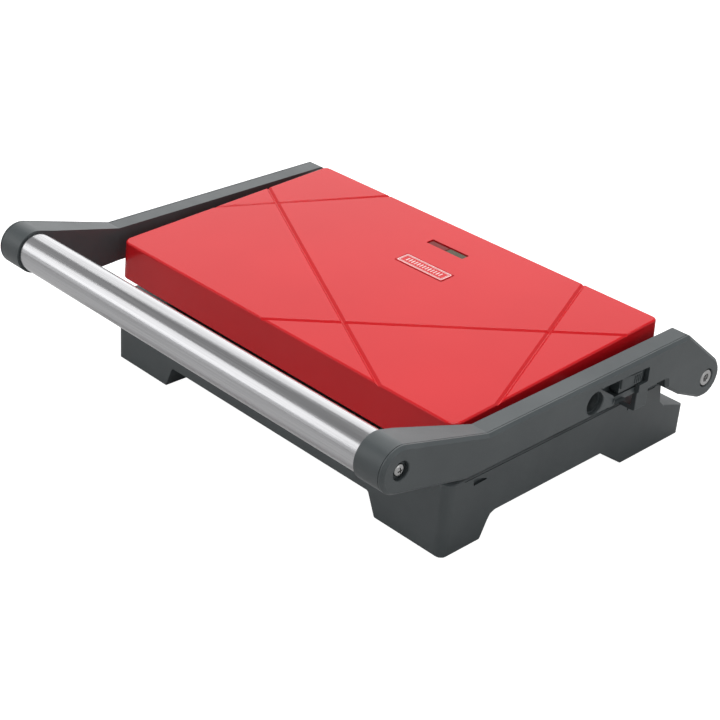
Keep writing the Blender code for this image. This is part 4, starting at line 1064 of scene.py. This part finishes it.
def groove_lines():
    """Ends of the lid's four crossing grooves, as shares of its half width and of its depth."""
    half, depth = LID_HIGH.x - LID_DRAFT, LID_HIGH.y - LID_LOW.y

    def at(x, y):
        return x * half, LID_LOW.y + y * depth

    return (
        (at(-1.012, 0.699), at(0.668, -0.022)),
        (at(-1.028, 0.391), at(-0.547, 1.011)),
        (at(-0.096, -0.020), at(1.020, 0.841)),
        (at(0.592, 1.019), at(1.012, 0.174)),
    )


def groove_cut(start, end, depth):
    """A V-shaped prism with eased lips along one groove, following the slope of the top."""
    run = Vector((end[0] - start[0], end[1] - start[1], 0)).normalized()
    across = Vector((-run.y, run.x, 0))
    half, lip = GROOVE_HALF, GROOVE_LIP
    side = [
        (half + 2.2 * lip, 0.0003),
        (half + 0.6 * lip, -0.00004),
        (half, -0.00016),
        (0.00022, -depth * 0.96),
    ]
    section = side + [(0.0, -depth)] + [(-w, z) for w, z in reversed(side)]
    rings = []
    for x, y in (start, end):
        ring = []
        for wide, up in section:
            point = Vector((x, y, 0)) + across * wide
            ring.append((point.x, point.y, lid_top(point.y) + up))
        rings.append(ring)
    return loft(rings)


def lid_ring(side, height):
    """The lid's plan drawn in by an amount at its sides, at a height that may follow the slope of its top."""
    end = side - min(side, LID_DRAFT) / 2
    radii = [max(radius - end, 0.0006) for radius in (LID_FRONT_CORNER_R, LID_REAR_CORNER_R)]
    outline = rounded_box(LID_HIGH.x - side, LID_LOW.y + end, LID_HIGH.y - end, radii[0], 8, radii[1])
    return [(x, y, height(y) if callable(height) else height) for x, y in outline]


def make_lid():
    bottom, half = LID_LOW.z, LID_HIGH.x
    levels = [
        lid_ring(LID_DRAFT + LID_WALL, lambda y: lid_top(y, LID_WALL)),
        lid_ring(LID_WALL, bottom),
        lid_ring(0.0003, bottom),
        lid_ring(0.0, bottom + 0.0003),
    ]
    for part in (0.25, 0.5, 0.75):
        levels.append(lid_ring(LID_DRAFT * part, lambda y: bottom + (lid_top(y, LID_EDGE_R) - bottom) * part))
    for angle in quarter(6):
        side = LID_DRAFT + LID_EDGE_R * (1 - math.cos(angle))
        levels.append(lid_ring(side, lambda y: lid_top(y, LID_EDGE_R * (1 - math.sin(angle)))))
    lid = loft(levels)
    for number, (start, end) in enumerate(groove_lines()):
        lid = carve(lid, groove_cut(start, end, GROOVE_DEPTH - GROOVE_STAGGER * number))
    slot = rounded_box(node_length("power_lens") + FIT, -LENS_HALF - FIT, LENS_HALF + FIT, 0.0006, 3)
    bed = rounded_box(BADGE_SIZE[0] / 2 + FIT, -BADGE_SIZE[1] / 2 - FIT, BADGE_SIZE[1] / 2 + FIT, 0.0010, 3)
    for outline, at, depth in ((slot, (0, WINDOW_FROM_REAR), 3 * LID_WALL), (bed, BADGE_AT, BADGE_DEPTH)):
        lid = carve(lid, placed(slab(outline, "Z", -depth, 0.003), lid_place(*at)))
    for sign in (-1, 1):
        lid = carve(lid, hole_x(PIVOT, PIVOT_SINK_R, sign, half - PIVOT_SINK, half + CUT))
    piece("lid_shell", lid, "red_plastic", "lid", ["lid_cover"], 24)


def make_badge():
    """A generic badge: an outlined plate with a row of plain strokes, and no lettering."""
    half_x, half_y = BADGE_SIZE[0] / 2, BADGE_SIZE[1] / 2
    top = 0.00022
    foot, face = top - 0.0001, top + 0.00006
    plate = slab(rounded_box(half_x, -half_y, half_y, 0.0008, 4), "Z", GAP - BADGE_DEPTH, top, 0.00012, 2)
    ink = bmesh.new()
    for margin, width in ((0.0006, 0.00055), (0.0016, 0.00028)):
        outer = rounded_box(half_x - margin, margin - half_y, half_y - margin, 0.0007, 4)
        reach = margin + width
        inner = rounded_box(half_x - reach, reach - half_y, half_y - reach, 0.0005, 4)
        levels = ((outer, foot), (outer, face), (inner, face), (inner, foot))
        loft([[(x, y, z) for x, y in outline] for outline, z in levels], ink, cap=False)
    bar = rounded([(-0.0004, -0.0017), (0.0004, -0.0017), (0.0004, 0.0017), (-0.0004, 0.0017)], 0.00035, 3)
    strokes = row(slab(bar, "Z", foot, face), 13, (-0.0126, 0, 0), (0.0021, 0, 0), "badge_print")
    plate_faces = len(plate.faces)
    badge = helper(placed(merged(plate, ink, strokes), lid_place(*BADGE_AT)), "badge")
    badge.data.materials.clear()
    for slot in ("red_plastic", "badge_print"):
        badge.data.materials.append(FINISHES[slot])
    for number, polygon in enumerate(badge.data.polygons):
        polygon.material_index = int(number >= plate_faces)
    dressed(badge, "lid", ["badge_plate"])


def make_window():
    """Two lenses side by side, each with eased edges."""
    for name, sign, slot in (("power_lens", -1, "red_lens"), ("ready_lens", 1, "green_lens")):
        start, end = sorted((sign * GAP / 2, sign * node_length(name)))
        corners = [(start, -LENS_HALF), (end, -LENS_HALF), (end, LENS_HALF), (start, LENS_HALF)]
        made = slab(rounded(corners, 0.0005, 3), "Z", -LENS_THICK, -LENS_SUNK, 0.0003)
        piece(f"{name}_window", placed(made, lid_place(0, WINDOW_FROM_REAR)), slot, "lid", [name])


def cover_screws(prefix, z):
    """Places and nodes of the four screws that hold a cover."""
    nodes = [f"{prefix}_{n}" for n in range(1, 5)]
    return [((middle(node).x, middle(node).y, z), (0, 0, -1)) for node in nodes], nodes


def make_lid_frame():
    lo, hi = low("lid_frame"), high("lid_frame")
    edge = 0.0008
    corner = 0.007
    opening = plate_edges(FIT)
    eased_opening = plate_edges(FIT + 0.0004)

    def drawn(amount):
        return hi.x - amount, lo.y + amount, hi.y - amount

    levels = (
        (opening, OPENING_CORNER_R, lo.z + 0.0004),
        (eased_opening, OPENING_CORNER_R, lo.z),
        (drawn(edge), corner - edge, lo.z),
        (drawn(edge * 0.3), corner - 0.0002, lo.z + edge * 0.3),
        (drawn(0), corner, lo.z + edge),
        (drawn(0), corner, hi.z),
        (drawn(WALL), corner - WALL, hi.z),
        (drawn(WALL), corner - WALL, lo.z + WALL),
        (opening, OPENING_CORNER_R, lo.z + WALL),
    )
    rings = [[(x, y, z) for x, y in rounded_box(*edges, radius)] for edges, radius, z in levels]
    lining = loft(rings, cap=False)
    places, nodes = cover_screws("lid_screw", lo.z - GAP)
    for at, _facing in places:
        lining = carve(lining, hole_z(at, LID_SCREW_HOLE_R, lo.z - CUT, lo.z + WALL + CUT, 24))
    piece("lid_lining", lining, "black_plastic", "lid", ["lid_frame"])
    shape = screw_shape(*COVER_SCREW, COVER_SCREW_SHANK)
    fasteners("lid_fixings", shape, places, "bright_steel", "lid", nodes, 8)


def make_pivots():
    ease = 0.0004
    for side, sign in (("left", -1), ("right", 1)):
        node = f"pivot_boss_{side}"
        inner, outer = sorted((abs(low(node).x), abs(high(node).x)))
        length = outer - inner
        profile = [
            (PIVOT_HOLE_R, 0),
            (PIVOT_COLLAR_R - ease, 0),
            (PIVOT_COLLAR_R, ease),
            (PIVOT_COLLAR_R, PIVOT_COLLAR - ease),
            (PIVOT_COLLAR_R - ease, PIVOT_COLLAR),
            (PIVOT_BOSS_R + ease, PIVOT_COLLAR),
            (PIVOT_BOSS_R, PIVOT_COLLAR + ease),
            (PIVOT_BOSS_R, length - ease),
            (PIVOT_BOSS_R - ease, length),
            (PIVOT_HOLE_R, length),
        ]
        boss = placed(turned(profile, ROUND, ring=True), along_x(sign * inner, PIVOT.y, PIVOT.z, sign))
        piece(f"pivot_bush_{side}", boss, "black_plastic", "lid", [node])
    shape = screw_shape(*PIVOT_SCREW, node_length("pivot_screw_right") - PIVOT_SCREW[1])
    places = both_ends(BAR_OUT - PIVOT_SEAT_DEPTH + GAP, PIVOT)
    fasteners("pivot_fixings", shape, places, "bright_steel", "lid",
              ["pivot_screw_left", "pivot_screw_right"], 2)


# ---- hot plates


def plate_edges(grow=0.0):
    lo, hi = low("lower_grill_plate"), high("lower_grill_plate")
    grow -= PLATE_FLANGE
    return hi.x + grow, lo.y - grow, hi.y + grow


def make_plate(side, out):
    """A coated casting: a rounded rim, a sunk bed and a row of ribs across it."""
    node = f"{side}_grill_plate"
    face, back = (high(node).z, low(node).z) if out > 0 else (low(node).z, high(node).z)
    step = face - out * PLATE_STEP
    bed = face - out * RIB_DEPTH
    rim, lip, foot = 0.0012, 0.0010, 0.0012
    corner = PLATE_CORNER_R
    levels = [
        (0, back, corner),
        (0, step - out * FLANGE_THICK, corner),
        (-PLATE_FLANGE, step - out * FLANGE_THICK, corner),
        (-PLATE_FLANGE, step, corner),
        (0, step, corner),
    ]
    for a in quarter(5):
        levels.append((rim * (1 - math.cos(a)), face - out * rim * (1 - math.sin(a)), corner - rim / 2))
    for a in quarter(4):
        levels.append((PLATE_EDGE - 0.0022 + lip * math.sin(a), face - out * lip * (1 - math.cos(a)), 0.0060))
    for a in quarter(4):
        shrink = PLATE_EDGE - lip + foot * (1 - math.cos(a))
        levels.append((shrink, bed + out * foot * (1 - math.sin(a)), 0.0050))
    plate = loft([[(x, y, z) for x, y in rounded_box(*plate_edges(-shrink), radius)]
                  for shrink, z, radius in levels])
    half, front, rear = plate_edges(-PLATE_EDGE)
    count = int(2 * half / RIB_PITCH) - 1
    root, top = RIB_WIDTH / 2, RIB_WIDTH * 0.31
    crown = rounded([
        (-root, -0.0004, 0),
        (root, -0.0004, 0),
        (top, RIB_DEPTH, 0.0008),
        (-top, RIB_DEPTH, 0.0008),
    ], 0)
    rib = slab([(x, z * out) for x, z in crown], "Y", front + 0.0016, rear - 0.0016, 0.0011, 4)
    ribs = row(rib, count, ((1 - count) / 2 * RIB_PITCH, 0, bed), (RIB_PITCH, 0, 0), "cast_aluminium")
    body = "base" if out > 0 else "lid"
    piece(f"{side}_hot_plate", merged(plate, ribs), "cast_aluminium", body, [node], 40)


# ---- base


def deck_height(y):
    front = STEP_FRONT + STEP_RUN
    return STEP_TOP + (y - front) * (BASE_REAR_TOP - STEP_TOP) / (BASE_HIGH.y - front)


def base_outline():
    front_toe = BASE_LOW.y + FRONT_FOOT[0]
    rear_toe = BASE_HIGH.y - REAR_FOOT[0]
    sole = BASE_LOW.z
    return rounded([
        (BASE_LOW.y, sole, 0.0012),
        (front_toe - 0.0007, sole, 0.0015),
        (front_toe + 0.0040, BASE_FLOOR - 0.0040, 0.0020),
        (front_toe + 0.0058, BASE_FLOOR - 0.0012, 0.0020),
        (front_toe + FRONT_FOOT[1], BASE_FLOOR, 0.0030),
        (rear_toe - REAR_FOOT[1], BASE_FLOOR, 0.0015),
        (rear_toe, sole, 0.0015),
        (BASE_HIGH.y, sole, 0.0020),
        (BASE_HIGH.y, BASE_REAR_TOP, 0.0015),
        (STEP_FRONT + STEP_RUN, STEP_TOP, 0.0014),
        (STEP_FRONT + STEP_FOOT_RUN, STEP_FOOT, 0.0020),
        (STEP_FRONT, BASE_TOP, 0.0012),
        (BASE_LOW.y, BASE_TOP, 0.0012),
    ], 0.0, 4)


def base_front_outline():
    half = BASE_HIGH.x
    toe = half - FOOT_WIDTH
    side = [
        (half, BASE_TOP + 0.02, 0),
        (half, BASE_LOW.z, 0.0010),
        (toe, BASE_LOW.z, 0.0012),
        (toe - FOOT_SIDE_FLANK, BASE_FLOOR, 0.0020),
    ]
    return rounded(side + [(-x, z, r) for x, z, r in reversed(side)], 0.0, 4)


def foot_middles():
    x = BASE_HIGH.x - FOOT_WIDTH / 2
    rows = (BASE_LOW.y + FRONT_FOOT[0] / 2, BASE_HIGH.y - REAR_FOOT[0] / 2)
    return [(sign * x, y) for y in rows for sign in (-1, 1)]


def base_hollow():
    """The space inside the base, and the plate's opening in its deck."""
    half = BASE_HIGH.x - WALL
    tail = BASE_HIGH.y - 0.012
    room = slab([
        (BASE_LOW.y + WALL, BASE_FLOOR + WALL),
        (tail, BASE_FLOOR + WALL),
        (tail, deck_height(tail) - WALL),
        (STEP_FRONT + STEP_RUN - WALL, STEP_TOP - WALL),
        (STEP_FRONT + STEP_FOOT_RUN - WALL, STEP_FOOT - WALL),
        (STEP_FRONT - WALL, BASE_TOP - WALL),
        (BASE_LOW.y + WALL, BASE_TOP - WALL),
    ], "X", -half, half)
    levels = ((0, -2 * WALL), (0, -0.0005), (0.0005, 0.0), (0.0015, 0.001))
    rings = []
    for grow, z in levels:
        outline = rounded_box(*plate_edges(FIT + grow), OPENING_CORNER_R + grow)
        rings.append([(x, y, BASE_TOP + z) for x, y in outline])
    return room, loft(rings)


def hinge_ear(sign):
    front, rear = HINGE.y - EAR_R, HINGE.y + EAR_R
    ear = [(y, deck_height(y) - 0.001) for y in (front, rear)]
    ear += arc((HINGE.y, HINGE.z), EAR_R, 0, math.pi, 28)
    return slab(ear, "X", sign * (EAR_OUT - EAR_THICK), sign * EAR_OUT, 0.0007)


def side_marks(sign):
    """A small wedge-shaped notch and a fine line along one side of the base."""
    half = BASE_HIGH.x
    notch = rounded([(y, z, 0.0003) for y, z in NOTCH], 0, 2)
    front, rear = BASE_LOW.y + RIM_LINE_ENDS[0], STEP_FRONT - RIM_LINE_ENDS[1]
    lower, upper = (BASE_TOP - drop_by for drop_by in RIM_LINE)
    line = [(front, lower), (rear, lower), (rear, upper), (front, upper)]
    return [slab(outline, "X", sign * (half - depth), sign * (half + CUT))
            for outline, depth in ((notch, NOTCH_DEPTH), (line, RIM_LINE_DEPTH))]


def make_base():
    half = BASE_HIGH.x
    shell = slab(base_outline(), "X", -half, half, BASE_EDGE, 4)
    shell = carve(shell, slab(base_front_outline(), "Y", BASE_LOW.y - CUT, BASE_HIGH.y + CUT), "INTERSECT")
    plan = rounded_box(half, BASE_LOW.y, BASE_HIGH.y, BASE_CORNER_R, 10)
    shell = carve(shell, slab(plan, "Z", 0.0, 0.06), "INTERSECT")
    shell = soften(shell, 0.0006)
    for cutter in base_hollow():
        shell = carve(shell, cutter)
    for at in foot_middles():
        shell = carve(shell, hole_z(at, PAD_SEAT_R, BASE_LOW.z - 2 * CUT, BASE_LOW.z + PAD_SEAT))
    lo, hi = low("base_bottom_cover"), high("base_bottom_cover")
    vent = rounded_box(hi.x - 0.016, lo.y + 0.012, hi.y - 0.012, 0.006)
    shell = carve(shell, slab(vent, "Z", BASE_FLOOR - CUT, BASE_FLOOR + 2 * WALL))
    for sign in (-1, 1):
        shell = carve(shell, hinge_ear(sign), "UNION")
    shell = carve(shell, hole_x(HINGE, ROD_R + GAP, 1, -EAR_OUT - CUT, EAR_OUT + CUT))
    gland = middle("cord_gland")
    bore = circle((gland.x, gland.z), GLAND_BORE_R)
    shell = carve(shell, slab(bore, "Y", STEP_FRONT - 2 * WALL, STEP_FRONT + 2 * STEP_RUN))
    front, rear = SLIT
    shell = carve(shell, block((half - SLIT_DEPTH, front, SLIT_BOTTOM), (half + CUT, rear, BASE_TOP + CUT)))
    for sign in (-1, 1):
        for cutter in side_marks(sign):
            shell = carve(shell, cutter)
    piece("base_body", shell, "black_plastic", "base", ["base_shell"])


def make_bottom_cover():
    lo, hi = low("base_bottom_cover"), high("base_bottom_cover")
    cover = slab(rounded_box(hi.x, lo.y, hi.y, 0.006), "Z", lo.z, hi.z, 0.0004)
    slot = rounded_box(VENT_HALF, lo.y + VENT_MARGIN, hi.y - VENT_MARGIN, 0.0019, 6)
    slot = slab(slot, "Z", lo.z - CUT, hi.z + CUT)
    first = (1 - VENT_COUNT) / 2 * VENT_PITCH
    cover = carve(cover, row(slot, VENT_COUNT, (first, 0, 0), (VENT_PITCH, 0, 0), "steel_sheet"))
    places, nodes = cover_screws("bottom_screw", lo.z - GAP)
    for at, _facing in places:
        cover = carve(cover, hole_z(at, BOTTOM_SCREW_HOLE_R, lo.z - CUT, hi.z + CUT, 24))
    piece("bottom_plate", cover, "steel_sheet", "base", ["base_bottom_cover"])
    shape = screw_shape(*COVER_SCREW, COVER_SCREW_SHANK)
    fasteners("bottom_fixings", shape, places, "bright_steel", "base", nodes, 4)


def make_foot_pads():
    """Rubber pads with two rings sunk in their soles."""
    pads = [f"foot_pad_{end}_{side}" for end in ("front", "rear") for side in ("left", "right")]
    top = high(pads[0]).z
    radius = high(pads[0]).x - middle(pads[0]).x
    sole = ((0, 1), (0.0016, 1), (0.0019, 0), (0.0034, 0), (0.0037, 1), (0.0044, 1), (0.0047, 0))
    profile = [(r, 0.0003 * sunk) for r, sunk in sole]
    profile += [(radius - 0.0008, 0), (radius - 0.0003, 0.0003), (radius, 0.0009), (radius, top), (0, top)]
    places = [((middle(node).x, middle(node).y, 0), (0, 0, 1)) for node in pads]
    fasteners("foot_pads", turned(profile, 40), places, "rubber", "base", pads, 1)


def make_gland():
    """A rubber sleeve with four rings, in the step of the base."""
    at = middle("cord_gland")
    start = low("cord_gland").y - STEP_FRONT
    bore, ring, flange = 0.0030, 0.0045, 0.0065
    profile = [(bore, start), (flange, start), (flange, start + 0.002), (ring, start + 0.002), (ring, 0.003)]
    for k in range(4):
        z = 0.0034 + k * 0.0016
        profile += [(ring, z), (ring, z + 0.0008), (0.0040, z + 0.0010), (0.0040, z + 0.0014)]
    profile += [(0.0038, 0.0103), (0.0036, 0.0105), (bore, 0.0105)]
    place = Matrix.Translation((at.x, STEP_FRONT, at.z)) @ Matrix.Rotation(-math.pi / 2, 4, "X")
    piece("lead_gland", placed(turned(profile, ROUND, ring=True), place), "rubber", "base", ["cord_gland"])


# ---- stage, light and camera


def soft_light(name, at, target, size, watts):
    data = bpy.data.lights.new(name, "AREA")
    data.shape = "RECTANGLE"
    data.size, data.size_y = size
    data.energy = watts
    lamp = bpy.data.objects.new(name, data)
    bpy.context.collection.objects.link(lamp)
    lamp.location = at
    lamp.rotation_euler = (Vector(target) - Vector(at)).to_track_quat("-Z", "Y").to_euler()


def make_stage():
    """A grey floor that the camera alone sees as white, so that little light is thrown up from it."""
    mesh = bpy.data.meshes.new("floor")
    size = 4.0
    corners = [(-size, -size, 0), (size, -size, 0), (size, size, 0), (-size, size, 0)]
    mesh.from_pydata(corners, [], [(0, 1, 2, 3)])
    floor = bpy.data.objects.new("floor", mesh)
    bpy.context.collection.objects.link(floor)
    f = Finish("pale_floor", Roughness=0.9, Specular_IOR_Level=0.1)
    seen = f.nodes.new("ShaderNodeLightPath").outputs["Is Camera Ray"]
    f.feed("Base Color", f.tint(seen, (0.54, 0.54, 0.54), (0.40, 0.40, 0.40), 0.0, 1.0))
    f.shader.inputs["Emission Color"].default_value = (1, 1, 1, 1)
    f.feed("Emission Strength", seen)
    mesh.materials.append(f.mat)


def make_light():
    """An even studio sky, dimmer overhead than at its edge, with soft boxes that draw bands on the steel."""
    world = bpy.data.worlds.new("studio")
    bpy.context.scene.world = world
    world.use_nodes = True
    nodes, links = world.node_tree.nodes, world.node_tree.links
    background = nodes["Background"]
    coords = nodes.new("ShaderNodeTexCoord")
    split = nodes.new("ShaderNodeSeparateXYZ")
    ramp = nodes.new("ShaderNodeValToRGB")
    links.new(coords.outputs["Generated"], split.inputs[0])
    links.new(split.outputs["Z"], ramp.inputs["Fac"])
    links.new(ramp.outputs["Color"], background.inputs["Color"])
    stops = ramp.color_ramp.elements
    stops[0].position, stops[1].position = 0.0, 1.0
    stops.new(0.35)
    stops.new(0.75)
    for stop, level in zip(stops, (0.80, 0.55, 0.34, 0.40)):
        stop.color = (level, level, level * 1.01, 1)
    background.inputs["Strength"].default_value = 1.0
    soft_light("overhead", (0.0, 0.1, 1.6), (0, 0, 0), (1.0, 1.0), 18.0)
    soft_light("behind_left", (-1.75, 1.35, 1.05), (0, 0, 0.05), (2.0, 1.9), 11.5)
    soft_light("front_left", (-1.21, -1.21, 0.83), (0, 0, 0.05), (0.9, 0.9), 3.0)
    soft_light("right", (1.6, 0.2, 0.7), (0, 0, 0.05), (0.9, 0.9), 2.0)


def make_camera():
    azimuth, elevation, roll = (math.radians(a) for a in (43.878, 28.568, 4.315))
    target, distance = Vector((0.01545, -0.01275, 0.045)), 0.8742
    back = Vector((math.sin(azimuth) * math.cos(elevation), -math.cos(azimuth) * math.cos(elevation),
                   math.sin(elevation)))
    level = Vector((0, 0, 1)).cross(back).normalized()
    upright = back.cross(level)
    right = math.cos(roll) * level + math.sin(roll) * upright
    up = math.cos(roll) * upright - math.sin(roll) * level
    data = bpy.data.cameras.new("camera")
    data.lens = 80.0
    data.sensor_width = 36.0
    camera = bpy.data.objects.new("camera", data)
    bpy.context.collection.objects.link(camera)
    turn = Matrix((right, up, back)).transposed().to_4x4()
    camera.matrix_world = Matrix.Translation(target + back * distance) @ turn
    bpy.context.scene.camera = camera


def main():
    make_camera()
    dress_frame()
    for side, sign in (("left", -1), ("right", 1)):
        make_arm(side, sign)
        make_arm_cover(side, sign)
    make_lock()
    make_handle()
    make_hinge()
    make_lid()
    make_badge()
    make_window()
    make_lid_frame()
    make_pivots()
    make_plate("lower", 1)
    make_plate("upper", -1)
    make_base()
    make_bottom_cover()
    make_foot_pads()
    make_gland()
    make_catch()
    make_stage()
    make_light()
    bpy.context.scene.view_settings.view_transform = "Standard"


main()
